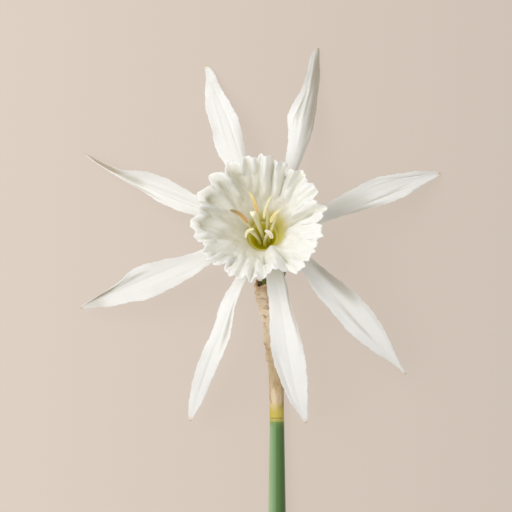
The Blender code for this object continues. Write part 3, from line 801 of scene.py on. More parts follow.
# %% Cream to white
cup_finish, tree, shader = new_finish(
    "cup_cream_white",
    Subsurface_Weight=0.65, Subsurface_Radius=SCATTER, Subsurface_Scale=1.6 * MM,
    IOR=1.42, Specular_IOR_Level=0.35,
)
place, along = uv_shares(tree)[:2]
from_base = folded(tree, along)
fibres = streaks(tree, place, (3.0, 150.0, 1.0))
blotches = streaks(tree, place, (7.0, 30.0, 1.0), 2.0)
green = kept_value(tree, "Green")
body = ramp(tree, from_base, [
    (0.0, (0.87, 0.85, 0.78)), (0.45, (0.89, 0.88, 0.81)), (1.0, (0.93, 0.93, 0.87)),
])
throat = ramp(tree, green, [
    (0.0, (0.87, 0.85, 0.78)), (0.25, (0.83, 0.77, 0.60)), (0.55, (0.70, 0.62, 0.24)),
    (1.0, (0.62, 0.56, 0.02)),
])
greened = tint(tree, spread(tree, green, 0.0, 3.0), body, throat)
veined = tint(tree, spread(tree, fibres, 0.0, 0.16), greened, (0.74, 0.74, 0.64))
mottled = tint(tree, spread(tree, blotches, 0.0, 0.10), veined, (0.92, 0.88, 0.82))
# Painted shade: the colour is mixed towards grey-green where the skin carries painted shade.
painted_shade_colour = tint(tree, kept_value(tree, "Dull"), mottled, (0.47, 0.46, 0.35))
coat(tree, shader, painted_shade_colour, fibres, 0.42, 0.62)
relief(tree, shader, fibres, 0.5, 0.08 * MM)
print("made", cup_finish.name)

# %% [markdown]
# ## The frilled cup
#
# The cup is a funnel. Its half section is one Bezier curve, turned round the flower's axis. Its
# rim has eighteen uneven lobes with a notch after each, near the solid's own: a few were set
# again by the photograph, mostly where a lip rolls out here and not on the solid.
#
# Two more lists shape the wall. Ridges are the pleats that run down from the notches: each has a
# place on the rim, a foot lower down, a height and two side widths. Hollows are the shell-like
# dips inside the lobes, behind their rolled lips. A few sculpted folds in a list look more like
# a real, crumpled flower than one even wave would, and each can be set against the photograph.

# %% The cup's plan: section, rim, ridges and hollows
# Half the cup's section, from its base to its rim: distance from the axis, height along it.
CUP_SECTION = np.array([(4.4, 0.3), (8.0, 5.8), (11.6, 13.6), (17.2, 18.2)]) * MM
# The rim, by turns a lobe and the notch after it: direction (degrees), reach past the section (mm).
CUP_RIM = [
    (4, 1.2), (20, -2.2), (30, 0.3), (38, -0.6), (49, 0.1), (62, -2.4), (72, 0.3), (78, -0.5),
    (85, 1.2), (93, -0.5), (101, 0.5), (109, -0.9), (118, 0.3), (127, -1.0), (136, 0.5), (145, -1.0),
    (154, 0.3), (163, -1.1), (168, 0.5), (175, -0.9), (185, 1.0), (203, -0.9), (222, 1.0), (234, -2.6),
    (249, 1.4), (257, -0.4), (265, 0.8), (278, -2.4), (290, 0.2), (298, -1.4), (307, 1.6), (314, 0.6),
    (324, 0.4), (338, -1.2), (345, 0.5), (355, -1.8),
]
# Ridges: direction at the rim and at the foot (degrees), the foot's share up the wall, how
# quickly it rises, height, half widths on its clockwise and its other side (mm).
CUP_RIDGES = [
    (128, 125, 0.40, 2.4, 1.9, 0.55, 1.6), (108, 112, 0.78, 3.0, 0.9, 0.6, 1.0),
    (97, 97, 0.74, 3.0, 0.8, 0.45, 0.7), (86, 83, 0.30, 2.6, 1.9, 1.1, 0.9),
    (74, 64, 0.36, 2.4, 1.7, 0.9, 1.0), (55, 45, 0.38, 2.2, 1.5, 0.7, 1.4),
    (37, 31, 0.50, 2.0, 0.9, 1.2, 1.8), (14, 20, 0.26, 2.4, 2.0, 0.8, 2.6),
    (363, 354, 0.12, 2.6, 1.6, 4.5, 0.6), (287, 301, -0.03, 2.7, 2.7, 2.0, 1.8),
    (268, 267, 0.36, 2.4, 0.8, 0.8, 0.9), (258, 251, 0.28, 2.4, 0.9, 0.8, 1.1),
    (247, 236, 0.34, 2.4, 1.0, 0.9, 1.1), (236, 229, 0.56, 2.6, 0.7, 0.9, 0.8),
    (224, 222, 0.70, 3.0, 0.5, 0.8, 0.6), (208, 217, 0.34, 2.4, 1.1, 1.8, 0.8),
    (193, 200, 0.62, 2.6, 0.7, 1.2, 0.7), (179, 184, 0.24, 2.4, 1.2, 2.0, 0.6),
    (169, 156, 0.46, 2.4, 2.1, 0.8, 0.75), (145, 131, 0.12, 2.2, 1.1, 0.9, 2.2),
]
RIDGE_SHARPNESS = 2.4
# Hollows: direction, half width (degrees), share where deepest, depth, lip's roll outwards (mm).
CUP_HOLLOWS = [
    (137, 8, 0.78, 1.9, 2.1), (158, 8, 0.78, 2.3, 2.5), (184, 11, 0.80, 2.0, 2.1), (200, 6, 0.80, 0.8, 1.4),
    (215, 7, 0.80, 0.9, 1.0), (230, 5, 0.82, 0.6, 0.7), (241, 6, 0.80, 0.8, 0.6), (263, 4, 0.82, 0.5, 0.4),
    (118, 9, 0.82, 1.2, 1.8), (103, 5, 0.86, 0.8, 1.2), (92, 4, 0.86, 0.8, 0.7), (77, 5, 0.84, 0.8, 0.5),
    (63, 5, 0.80, 1.1, 0.5), (47, 5, 0.86, 0.7, 0.6), (27, 6, 0.84, 0.5, 0.7), (8, 3, 0.70, 0.9, 0.3),
    (345, 12, 0.92, 0.2, 0.4), (322, 12, 0.90, 0.3, 0.4), (302, 3.5, 0.66, 1.4, 0.1),
    (275, 3, 0.50, 0.8, 0.0),
]
# How far a hollow fades below and above its deepest place (shares), and to its sides as a part
# of its listed half width.
HOLLOW_BELOW = 0.24
HOLLOW_ABOVE = 0.10
HOLLOW_WIDTH = 0.75
# The lip starts at this share and rolls out with this power of what is left.
LIP_START = 0.87
LIP_CURL = 1.5
print("lobes:", len(CUP_RIM) // 2, "ridges:", len(CUP_RIDGES), "hollows:", len(CUP_HOLLOWS))

# %% [markdown]
# ## Crumples, crinkles and the torn edge
#
# Between the sculpted folds the wall is never smooth. It bulges in slow crumples, creases in
# sharp crinkles that are strongest on the left and nearly gone on the flat flap at lower right,
# and its edge is ruffled on one side and cut into teeth on the other. All are sums of waves,
# with a list that says how strong they are in each direction.

# %% The small folds of wall and edge
# A crumple is a wave of the wall: how many round it, how many up it, its phase and height (mm).
CRUMPLES = [(7, 1.3, 0.4, 0.20), (13, -2.1, 1.9, 0.16), (23, 3.2, 4.0, 0.10), (37, -4.3, 2.6, 0.06)]
# A crinkle is a sharp fold: how many round the cup, how much their spacing varies, height (mm).
CRINKLES = [(30, 1.6, 0.45), (46, 2.3, 0.28), (72, 3.1, 0.14)]
# Crinkles start at this share up the wall and grow this quickly.
CRINKLES_FROM = 0.35
CRINKLES_GROW = 2.2
# How much of the crinkles each side has: direction (degrees), share.
CRINKLED = [
    (0, 0.20), (30, 0.40), (60, 0.55), (100, 0.5), (180, 0.6), (220, 0.65), (260, 0.45), (290, 0.12),
    (360, 0.20),
]
RUFFLE_COUNTS = (27, 41, 58)
# Teeth round the rim; a second, finer wave of them has this count and height beside the first.
TEETH = 44
FINER_TEETH = 1.62
FINER_HEIGHT = 0.6
# Lobes and ruffles grow from this share up the wall; teeth have only its last part.
LOBES_FROM = 0.3
TEETH_SPAN = 0.15
# The rim's edge: direction, length of its teeth and depth of its ruffles (mm), blended between
# neighbours.
RIM_EDGE = [
    (0, 0.30, 0.07), (20, 0.20, 0.14), (40, 0.16, 0.20), (90, 0.14, 0.20), (115, 0.10, 0.14),
    (130, 0.06, 0.06), (160, 0.08, 0.08), (185, 0.16, 0.15), (205, 0.24, 0.22), (235, 0.28, 0.26),
    (270, 0.20, 0.18), (292, 0.20, 0.06), (305, 0.50, 0.04), (345, 0.50, 0.04), (360, 0.30, 0.07),
]
print("crinkles round the cup:", sum(count for count, drift, height in CRINKLES))

# %% [markdown]
# ## Where the cup is green, and its painted shade
#
# The throat's green climbs the right side of the wall further than the left. Shade is painted in
# the hollows and between the folds, most of all at the top left, and fades out on the pleats and
# along the lips, which stay pale. As on the petals, this shade is painted into the colour.

# %% Green places and painted shade of the cup
# How far up the wall the throat's green reaches: direction (degrees), share.
GREEN_REACH = [
    (0, 0.40), (30, 0.38), (60, 0.33), (90, 0.28), (120, 0.18), (150, 0.10), (180, 0.09), (210, 0.09),
    (250, 0.10), (290, 0.10), (320, 0.24), (340, 0.36), (360, 0.40),
]
# Painted shade in the folds: a fold is found as the wall's mean over a few columns against its mean
# over many. It has its full painted shade where the two differ by this much.
FOLD_NARROW = 2
FOLD_WIDE = 16
FOLD_FULL = 0.55 * MM
FOLD_SHADE = 0.34
# How much shade is painted in a hollow, over which half height (share), and from which depth on fully (mm).
HOLLOW_SHADE = 0.44
HOLLOW_SHADE_TALL = 0.11
FULL_HOLLOW = 2
# The side on which the painted shade of folds and hollows is strongest (degrees), its mean and its
# swing to there.
SHADE_SIDE = 110.0
SHADE_MEAN = 0.55
SHADE_SWING = 0.45
# The last share of the wall, over which all painted shade fades, so that the lip stays pale.
PALE_LIP = 0.06
# Single spots of painted shade: direction (degrees), half width (mm), share up the wall, half
# height (share), strength.
CUP_SHADES = [
    (116, 2.6, 0.74, 0.26, 0.52), (103, 2.6, 0.58, 0.28, 0.50), (93, 0.8, 0.80, 0.24, 0.40),
    (79, 0.4, 0.76, 0.28, 0.25), (56, 1.1, 0.86, 0.16, 0.35), (138, 1.3, 0.76, 0.14, 0.45),
    (153, 1.5, 0.84, 0.10, 0.60), (176, 1.6, 0.86, 0.08, 0.55), (187, 1.9, 0.88, 0.08, 0.50),
    (197, 1.2, 0.55, 0.16, 0.45), (222, 0.5, 0.74, 0.12, 0.15), (246, 0.5, 0.78, 0.16, 0.15),
    (6, 1.0, 0.40, 0.26, 0.75), (9, 0.5, 0.75, 0.22, 0.60), (304, 0.7, 0.66, 0.20, 0.50),
    (142, 0.6, 0.62, 0.22, 0.40), (171, 0.8, 0.55, 0.20, 0.35), (146, 0.5, 0.92, 0.10, 0.50),
    (277, 0.35, 0.55, 0.35, 0.55),
]
print("painted shade spots of the cup:", len(CUP_SHADES))

# %% [markdown]
# ## The cup's surface
#
# The cup's lists become a surface in the same way. A place on the wall is given by how far round
# and how far up it lies. The lists tell how far the rim reaches there, how far the wall stands
# out, how much shade is painted there and how green it is. The funnel is pushed out by the folds
# and lengthened by the lobes. A displacement texture could push it out too, but it is hard to
# place single folds in.

# %% The rim's lobes


def rim_reach(degrees):
    """Reach of the rim past the section's end: an elliptic arc from each lobe down to its notches."""
    at, reach = np.array(CUP_RIM, float).T
    at = np.concatenate([[at[-1] - 360], at, [at[0] + 360]])
    reach = np.concatenate([[reach[-1]], reach, [reach[0]]]) * MM
    step = np.interp(degrees, at, np.arange(-1, len(CUP_RIM) + 1))
    before = np.floor(step).astype(int)
    on_lobe = before % 2 == 0
    from_lobe = np.where(on_lobe, step - before, before + 1 - step)
    lobe = reach[np.where(on_lobe, before + 1, before + 2)]
    notch = reach[np.where(on_lobe, before + 2, before + 1)]
    return lobe + (notch - lobe) * (1 - np.sqrt(1 - from_lobe**2))


first_two = np.array([CUP_RIM[0][0], CUP_RIM[1][0]])
print("reach of the first lobe and notch in mm:", (rim_reach(first_two) / MM).round(2))

# %% The wall's folds


def round_difference(degrees, centre):
    """How far a direction is from a centre, from -180 to 180 degrees."""
    return (degrees - centre + 180) % 360 - 180


def ease(value):
    """From 0 to 1 with a soft start and a soft end."""
    value = np.clip(value, 0, 1)
    return value * value * (3 - 2 * value)


def wall_folds(degrees, share, radius):
    """How far the wall stands out from the plain funnel: hollows and lips out, ridges in.

    A hollow is depth * exp(-distance ** 2). A ridge is height * exp(-distance ** sharpness), with
    distances in half widths. A crinkle is (1 - |sine|) ** 3, which has a sharp crest.
    """
    out = np.zeros(np.broadcast_shapes(degrees.shape, share.shape))
    for centre, half, deepest, depth, roll in CUP_HOLLOWS:
        across = np.exp(-((round_difference(degrees, centre) / (HOLLOW_WIDTH * half)) ** 2))
        reach = np.where(share < deepest, HOLLOW_BELOW, HOLLOW_ABOVE)
        dip = np.exp(-(((share - deepest) / reach) ** 2))
        lip = np.clip((share - LIP_START) / (1 - LIP_START), 0, 1) ** LIP_CURL
        out = out + across * MM * (depth * dip + roll * lip)
    for rim, foot, foot_share, rise, height, before, after in CUP_RIDGES:
        up = (share - foot_share) / (1 - foot_share)
        turned = np.radians(round_difference(degrees, foot + (rim - foot) * np.clip(up, 0, 1)))
        away = np.abs(turned) * radius / np.where(turned < 0, before * MM, after * MM)
        across = np.exp(-(away**RIDGE_SHARPNESS))
        out = out - height * MM * ease(up * rise) * across
    crinkled = np.interp(degrees, *np.array(CRINKLED).T)
    for count, drift, height in CRINKLES:
        wander = drift * np.sin(3 * np.radians(degrees) + 4 * share + count)
        phase = count / 2 * np.radians(degrees) + wander
        sharp = (1 - np.abs(np.sin(phase))) ** 3 * ease((share - CRINKLES_FROM) * CRINKLES_GROW)
        out = out - height * MM * crinkled * sharp
    for count, rows, phase, height in CRUMPLES:
        wave = np.sin(count * np.radians(degrees) + 2 * math.pi * rows * share + phase)
        out = out + height * MM * wave * ease(share * 2)
    return out


all_round, all_up = np.arange(360.0)[None, :], np.linspace(0, 1, 50)[:, None]
folds = wall_folds(all_round, all_up, CUP_SECTION[-1][0]) / MM
print("folds reach from", folds.min().round(1), "to", folds.max().round(1), "mm")

# %% How green the wall is and how much shade is painted on it


def green_reach(degrees):
    """How far up the wall the throat's green reaches, as a share, blended between neighbours."""
    at, reach = np.array(GREEN_REACH).T
    return np.interp(degrees, at, reach)


def cup_shade(degrees, share, out, radius):
    """How much shade is painted, from 0 to 1: between folds, in hollows and at each single spot."""
    narrow, wide = (
        sum(np.roll(out, step, axis=1) for step in range(-reach, reach + 1)) / (2 * reach + 1)
        for reach in (FOLD_NARROW, FOLD_WIDE)
    )
    side = SHADE_MEAN + SHADE_SWING * np.cos(np.radians(degrees - SHADE_SIDE))
    shade = np.clip((narrow - wide) / FOLD_FULL, 0, 1) * ease(share * 3) * FOLD_SHADE * side
    for centre, half, deepest, depth, roll in CUP_HOLLOWS:
        aside = round_difference(degrees, centre) / half
        away = aside**2 + ((share - deepest) / HOLLOW_SHADE_TALL) ** 2
        shade = np.maximum(shade, HOLLOW_SHADE * side * min(depth / FULL_HOLLOW, 1) * np.exp(-away))
    for centre, half, middle, tall, strength in CUP_SHADES:
        aside = np.radians(round_difference(degrees, centre)) * radius / (half * MM)
        shade = np.maximum(shade, strength * np.exp(-(aside**2) - ((share - middle) / tall) ** 2))
    return shade * ease((1 - share) / PALE_LIP)


climbs = np.array(GREEN_REACH)[:, 1]
print("the throat's green climbs from", climbs.min(), "to", climbs.max(), "of the wall")

# %% The cup's middle surface


def cup_sheet(turn, share):
    """Points of the cup's middle surface and how much shade is painted there.

    Share runs from base to rim and turn goes round in radians. The wall stands out along the
    section's normal, and lobes and teeth lengthen it along the section.
    """
    degrees = np.degrees(turn) % 360
    section, along = bezier(CUP_SECTION, share[:, 0])
    normal = np.stack([along[:, 1], -along[:, 0]], axis=-1)
    grown = ease((share - LOBES_FROM) / (1 - LOBES_FROM))
    toothed = np.clip((share - (1 - TEETH_SPAN)) / TEETH_SPAN, 0, 1)
    at, tooth, ruffle = np.array(RIM_EDGE).T
    tooth, ruffle = (np.interp(degrees, at, size) * MM for size in (tooth, ruffle))
    ruffles = sum(np.cos(count * turn + 1.7 * count) for count in RUFFLE_COUNTS)
    out = wall_folds(degrees, share, section[:, None, 0])
    painted_shade = cup_shade(degrees, share, out, section[:, None, 0])
    out = out + ruffle * ruffles * grown**3
    teeth = np.cos(TEETH * turn) + FINER_HEIGHT * np.cos(FINER_TEETH * TEETH * turn + 1.0)
    longer = rim_reach(degrees) * grown + tooth * teeth * toothed**2
    radius = section[:, None, 0] + normal[:, None, 0] * out + along[:, None, 0] * longer
    height = section[:, None, 1] + normal[:, None, 1] * out + along[:, None, 1] * longer
    return leaned(np.stack([radius * np.cos(turn), radius * np.sin(turn), height], axis=-1)), painted_shade


rim = cup_sheet(np.radians(all_round), np.ones((1, 1)))[0]
print("the rim is", (np.ptp(rim[..., 0]) / MM).round(1), "mm wide")

# %% The cup's two faces
CUP_COLUMNS = 900
CUP_ROWS = 56
CUP_ROW_CROWDING = 1.3
# Thickness at the base and at the lip, and the last share of the wall, which rounds the lip off.
CUP_THICK = 0.50 * MM
CUP_LIP_THICK = 0.42 * MM
CUP_LIP_ROUND = 0.02


def make_cup():
    """Rings round the axis: up the inside to the rim, and down the outside back to the base."""
    share = (1 - (1 - np.linspace(0, 1, CUP_ROWS)) ** CUP_ROW_CROWDING)[:, None]
    turn = np.linspace(0, 2 * math.pi, CUP_COLUMNS, endpoint=False)[None, :]
    sheet, painted_shade = cup_sheet(turn, share)
    green = np.clip(1 - share / green_reach(np.degrees(turn)), 0, 1)
    round_again = np.concatenate([sheet[:, -1:], sheet, sheet[:, :1]], axis=1)
    normals = sheet_normals(round_again)[:, 1:-1]
    thick = CUP_THICK + (CUP_LIP_THICK - CUP_THICK) * share**2
    edge = np.sqrt(np.clip((1 - share) / CUP_LIP_ROUND, 0, 1))
    offset = normals * (thick / 2 * edge)[..., None]
    faces = np.concatenate([sheet + offset, (sheet - offset)[-2::-1]])
    painted_shade, green = (np.vstack([value, value[-2::-1]]) for value in (painted_shade, green))
    return skin("frilled_cup", faces, loop=True, Dull=painted_shade, Green=green)


cup = make_cup()
dress(cup, "cup", cup_finish)
report(cup)

# %% [markdown]
# ## Throat, ovary and stalk
#
# Under the cup sits the flower's green tube. Its hollow top, the throat, holds the stamens; lower
# down it swells into the ovary and then thins to a stalk that runs inside the sheath. It is one
# round profile carried along a line, up the outside and then down again into the throat. It
# can't be turned as on a lathe, because its line bends from the leaning flower to the table.

# %% Green outside, yellow throat
# The skin runs up the outside and passes the tube's rim at about three quarters of its share.
tube_finish, tree, shader = new_finish(
    "tube_green",
    Subsurface_Weight=0.5, Subsurface_Radius=SCATTER, Subsurface_Scale=1.6 * MM,
    IOR=1.42, Specular_IOR_Level=0.15, Emission_Strength=1.0,
)
place, along = uv_shares(tree)[:2]
grain = streaks(tree, place, (10.0, 24.0, 1.0))
body = ramp(tree, along, [
    (0.0, (0.22, 0.22, 0.07)), (0.25, (0.12, 0.15, 0.035)), (0.60, (0.09, 0.14, 0.02)),
    (0.70, (0.15, 0.20, 0.045)), (0.747, (0.36, 0.40, 0.17)), (0.755, (0.86, 0.79, 0.34)),
    (0.82, (0.74, 0.67, 0.08)), (0.88, (0.64, 0.57, 0.01)), (1.0, (0.50, 0.44, 0.0)),
])
grained = tint(tree, spread(tree, grain, 0.0, 0.2), body, (0.45, 0.42, 0.05))
coat(tree, shader, grained, grain, 0.35, 0.55)
relief(tree, shader, grain, 0.3, 0.05 * MM)
# In the photograph light comes through the thin cup into the throat; a faint glow stands for it.
shine = ramp(tree, along, [
    (0.0, (0.0, 0.0, 0.0)), (0.74, (0.0, 0.0, 0.0)), (0.77, (0.12, 0.10, 0.02)),
    (0.88, (0.10, 0.09, 0.0)), (1.0, (0.03, 0.03, 0.0)),
])
tree.links.new(shine, shader.inputs["Emission Color"])
print("made", tube_finish.name)

# %% The tube's skin
# The tube ends this much under the heart, where the cup begins.
GAP = 0.3 * MM
TUBE_TOP_RADIUS = 5.0 * MM
# (x, y) from the heart, z over the table, radius; in mm.
TUBE_POINTS = [
    (0.3, -0.95, 12.2, 4.6), (0.8, -2.1, 8.6, 3.9), (1.6, -4.4, 5.6, 3.4), (2.7, -7.6, 4.3, 3.6),
    (2.9, -10.2, 4.0, 3.6), (1.9, -13.0, 3.4, 2.3), (1.1, -15.8, 3.0, 1.5), (1.3, -19.0, 2.7, 1.15),
    (2.5, -25.0, 2.4, 1.1), (3.2, -33.0, 2.3, 1.1), (3.8, -42.0, 2.3, 1.1), (4.0, -51.2, 2.2, 1.1),
]
TUBE_ROWS = 120
TUBE_SIDES = 96
THROAT_TOP_RADIUS = 3.85 * MM
THROAT_DEPTH = 5.0 * MM
# (radius, height) of the throat from its rim down to its floor, as shares of the two above.
THROAT_SECTION = [(1.0, 0.0), (0.92, -0.42), (0.76, -0.80), (0.58, -1.0)]
THROAT_ROWS = 40


def make_tube():
    """Rings up the outside of the line, then down the throat's own section along the axis."""
    top = HEART - AXIS * GAP
    knots = np.array([(*top, TUBE_TOP_RADIUS), *((*from_heart(p), p[3] * MM) for p in TUBE_POINTS)])
    outside = smooth_path(knots, np.linspace(1, 0, TUBE_ROWS))
    rings = carry(outside[:, :3], outside[:, 3], TUBE_SIDES, LEAN[:, 0])
    section = smooth_path(np.array(THROAT_SECTION), np.linspace(0, 1, THROAT_ROWS))
    turn = np.arctan2(*((rings[-1] - top) @ LEAN)[:, 1::-1].T)
    ray = np.stack([np.cos(turn), np.sin(turn)], axis=-1)
    inside = np.empty((len(section), TUBE_SIDES, 3))
    inside[..., :2] = ray * (section[:, None, :1] * THROAT_TOP_RADIUS)
    inside[..., 2] = section[:, 1:] * THROAT_DEPTH - GAP
    return skin("throat_and_ovary", np.concatenate([rings, leaned(inside)]))


tube = make_tube()
dress(tube, "tube", tube_finish)
report(tube)

# %% [markdown]
# ## The papery sheath
#
# The bract that once wrapped the buds has dried to a tan sleeve round the stalk. It is ribbed
# along its length, torn at its mouth, and its dead skin has split into small plates that stand
# off a little at their lower ends. Towards the stem it is smooth and turns yellow. The plates
# could be sculpted. Here each has a short formula, so that the few whose steps show in the
# photograph are placed by it and all others by chance.

# %% Dry paper
# Where across the table the painted shade of the sheath's right side begins, and where it is darkest.
SHEATH_RIGHT = (4.0 * MM, 6.2 * MM)
sheath_finish, tree, shader = new_finish(
    "sheath_dry_paper",
    Subsurface_Weight=0.1, Subsurface_Radius=SCATTER, Subsurface_Scale=0.4 * MM,
    Specular_IOR_Level=0.25,
)
place, along = uv_shares(tree)[:2]
from_mouth = folded(tree, along)
ribs = streaks(tree, place, (4.0, 60.0, 1.0))
flecks = streaks(tree, place, (34.0, 9.0, 1.0), 4.0)
patches = streaks(tree, place, (18.0, 5.0, 1.0), 1.0)
spots = streaks(tree, place, (26.0, 8.0, 1.0), 3.0)
body = ramp(tree, from_mouth, [
    (0.0, (0.40, 0.20, 0.09)), (0.05, (0.50, 0.33, 0.18)), (0.22, (0.62, 0.49, 0.34)),
    (0.50, (0.90, 0.76, 0.58)), (0.70, (0.56, 0.43, 0.26)), (0.80, (0.55, 0.42, 0.25)),
    (0.92, (0.60, 0.46, 0.27)),
])
patched = tint(tree, rising(tree, patches, 0.48, 0.58, 0.6), body, (0.80, 0.67, 0.49))
ribbed = tint(tree, spread(tree, ribs, 0.0, 0.20), patched, (0.64, 0.50, 0.34))
flecked = tint(tree, rising(tree, flecks, 0.54, 0.68, 0.7), ribbed, (0.34, 0.21, 0.09))
# Painted shade: the right side turns brown, and dark spots show only there, partly real marks and partly
# painted shade.
right = rising(tree, across_table(tree), *SHEATH_RIGHT, 0.6)
shaded_right_side = tint(tree, right, flecked, (0.46, 0.32, 0.16))
marks_in_painted_shade = put(tree, "Math", {0: rising(tree, spots, 0.55, 0.62, 1.2), 1: right}, operation="MULTIPLY")
darker = tint(tree, marks_in_painted_shade.outputs[0], shaded_right_side, (0.22, 0.16, 0.05))
colour = tint(tree, rising(tree, from_mouth, 0.925, 0.97, 0.95), darker, (0.57, 0.46, 0.09))
coat(tree, shader, colour, flecks, 0.65, 0.9)
relief(tree, shader, tint(tree, 0.5, ribs, flecks), 0.7, 0.12 * MM)
print("made", sheath_finish.name)

# %% The sheath's skin
# (x, y) from the heart, z over the table, middle radius of the wall; in mm.
SHEATH_POINTS = [
    (1.5, -12.9, 3.75, 3.3), (1.1, -14.8, 3.4, 2.85), (1.0, -17.2, 3.0, 2.35), (1.6, -20.5, 2.6, 2.0),
    (2.5, -25.0, 2.4, 1.85), (3.2, -33.0, 2.3, 1.8), (3.8, -42.0, 2.3, 1.8), (4.0, -51.75, 2.3, 1.8),
]
SHEATH_ROWS = 220
SHEATH_SIDES = 144
SHEATH_THICK = 0.5 * MM
SHEATH_RIDGES = 7
SHEATH_RIDGE = 0.12 * MM
# How deep the mouth is torn, how finely it is frayed, and how the tears fade down the sleeve.
MOUTH_RAG = 1.6 * MM
MOUTH_FRAY = 0.12 * MM
TORN_FADE = 6
# Both ends thin over this share of the length. The square of what is left of the wall there, and
# how much more of it is left at the stem than at the mouth.
SHEATH_ENDS = 0.008
LEFT_AT_MOUTH = 0.15
MORE_AT_STEM = 0.6
PLATES = 46
PLATE_LIFT = 0.70 * MM
# Plates whose steps show on the left in the photograph: share of the free end, length (share);
# they all have one half width (radians).
LEFT_PLATES = [(0.33, 0.14), (0.48, 0.09), (0.68, 0.06), (0.73, 0.04)]
LEFT_WIDTH = 0.8
# The sheath's underside is pressed flat this much over the table.
PRESSED_FLAT = 0.02 * MM


def plates(turn, share):
    """Height of the loose plates, from 0 to 1, where the highest plate counts.

    Each rises evenly over its length to its free lower end, which is a step, and falls to its two
    sides as a circle does. Most lie where a draw of random numbers puts them.
    """
    draw = np.random.default_rng(5)
    height = np.zeros(np.broadcast_shapes(turn.shape, share.shape))
    drawn = zip(
        draw.uniform(0, 2 * math.pi, PLATES), draw.uniform(0.12, 0.80, PLATES),
        draw.uniform(0.5, 0.9, PLATES), draw.uniform(0.05, 0.11, PLATES),
    )
    on_left = [(math.pi, end, LEFT_WIDTH, length) for end, length in LEFT_PLATES]
    for centre, end, width, length in [*drawn, *on_left]:
        away = (turn - centre + math.pi) % (2 * math.pi) - math.pi
        run = (share - end + length) / length
        inside = np.clip(1 - (away / width) ** 2, 0, 1) ** 0.5
        height = np.maximum(height, inside * np.where(run < 1, np.clip(run, 0, 1), 0))
    return height


def make_sheath():
    """A sleeve: down its outside from the mouth to the stem, and up its inside again.

    The mouth is torn by a sum of slow sines round it, and the wall has seven ridges that wind a
    little and fade to both ends.
    """
    rows = np.array([(*from_heart(p), p[3] * MM) for p in SHEATH_POINTS])
    share = np.linspace(0, 1, SHEATH_ROWS)
    turn = np.linspace(0, 2 * math.pi, SHEATH_SIDES, endpoint=False)
    path = smooth_path(rows, share)
    rag = MOUTH_RAG * (0.5 + 0.3 * np.sin(3 * turn + 0.6) + 0.2 * np.sin(5 * turn + 2.1))
    rag = rag + MOUTH_FRAY * np.sin(23 * turn)
    ridge = SHEATH_RIDGE * np.sin(SHEATH_RIDGES * turn + 9 * share[:, None])
    ridge = ridge * np.sin(math.pi * share)[:, None]
    along = unit(np.gradient(path[:, :3], axis=0))
    torn = along[:, None] * (rag[None, :] * (1 - share[:, None]) ** TORN_FADE)[..., None]
    least = LEFT_AT_MOUTH + MORE_AT_STEM * share
    edge = np.sqrt(np.clip(np.minimum(share, 1 - share) / SHEATH_ENDS, least, 1))[:, None]
    wall = SHEATH_THICK / 2 * edge
    lift = PLATE_LIFT * plates(turn[None, :], share[:, None])
    middle = path[:, 3:] + ridge
    outside = carry(path[:, :3], middle + wall + lift, len(turn), TABLE_UP) + torn
    inside = carry(path[:, :3], middle - wall, len(turn), TABLE_UP) + torn
    outside[..., 2] = np.maximum(outside[..., 2], PRESSED_FLAT)
    return skin("papery_sheath", np.concatenate([outside, inside[::-1]]), loop=True)


sheath = make_sheath()
dress(sheath, "sheath", sheath_finish)
report(sheath)

# %% [markdown]
# ## The stem
#
# The stem is round, juicy and green, with faint ribs; its colour is painted pale on its left side
# and dark on its right, as painted light and shade. It widens towards its cut end and lies on the
# table along its whole length. A cone would nearly do, but rings along a line let its middle rise
# with its radius and round both its rims.

# %% Juicy green
# Where across the table the stem's left and right sides are, between its painted light and its
# painted shade.
STEM_ACROSS = (2.0 * MM, 7.0 * MM)
stem_finish, tree, shader = new_finish(
    "stem_green",
    Subsurface_Weight=0.12, Subsurface_Radius=(0.6, 1.0, 0.4), Subsurface_Scale=0.6 * MM, IOR=1.42,
    Sheen_Weight=0.3, Sheen_Roughness=0.4, Sheen_Tint=(0.80, 1.0, 0.70, 1.0),
)
place, along = uv_shares(tree)[:2]
ribs = streaks(tree, place, (3.0, 70.0, 1.0))
cloud = streaks(tree, place, (9.0, 5.0, 1.0), 2.0)
body = ramp(tree, along, [
    (0.0, (0.62, 0.50, 0.10)), (0.035, (0.54, 0.46, 0.09)), (0.055, (0.22, 0.28, 0.05)),
    (0.9, (0.09, 0.165, 0.05)), (0.975, (0.11, 0.19, 0.06)), (0.985, (0.50, 0.56, 0.28)),
    (1.0, (0.62, 0.66, 0.42)),
])
# Painted light and shade: pale green on the left, towards the lamp, to dark green on the right.
lit_and_shaded_sides = ramp(tree, rising(tree, across_table(tree), *STEM_ACROSS), [
    (0.0, (0.50, 0.62, 0.38)), (0.22, (0.27, 0.43, 0.21)), (0.48, (0.09, 0.205, 0.05)),
    (0.80, (0.05, 0.125, 0.015)), (1.0, (0.035, 0.08, 0.008)),
])
# Both ends keep the colours along the stem; between them shows the painted light of its left side
# and the painted shade of its right.
ends = ramp(tree, along, [
    (0.0, (1.0, 1.0, 1.0)), (0.04, (0.9, 0.9, 0.9)), (0.075, (0.0, 0.0, 0.0)), (0.975, (0.0, 0.0, 0.0)),
    (0.985, (1.0, 1.0, 1.0)),
])
with_painted_sides = tint(tree, ends, lit_and_shaded_sides, body)
ribbed = tint(tree, spread(tree, ribs, 0.0, 0.3), with_painted_sides, (0.08, 0.15, 0.04))
clouded = tint(tree, spread(tree, cloud, 0.0, 0.15), ribbed, (0.24, 0.33, 0.19))
coat(tree, shader, clouded, ribs, 0.36, 0.56)
relief(tree, shader, ribs, 0.4, 0.06 * MM)
print("made", stem_finish.name)

# %% The stem's skin
STEM_TOP = np.array((4.0, -51.8)) * MM
STEM_LENGTH = 60.0 * MM
STEM_TOP_RADIUS = 2.06 * MM
STEM_END_RADIUS = 3.1 * MM
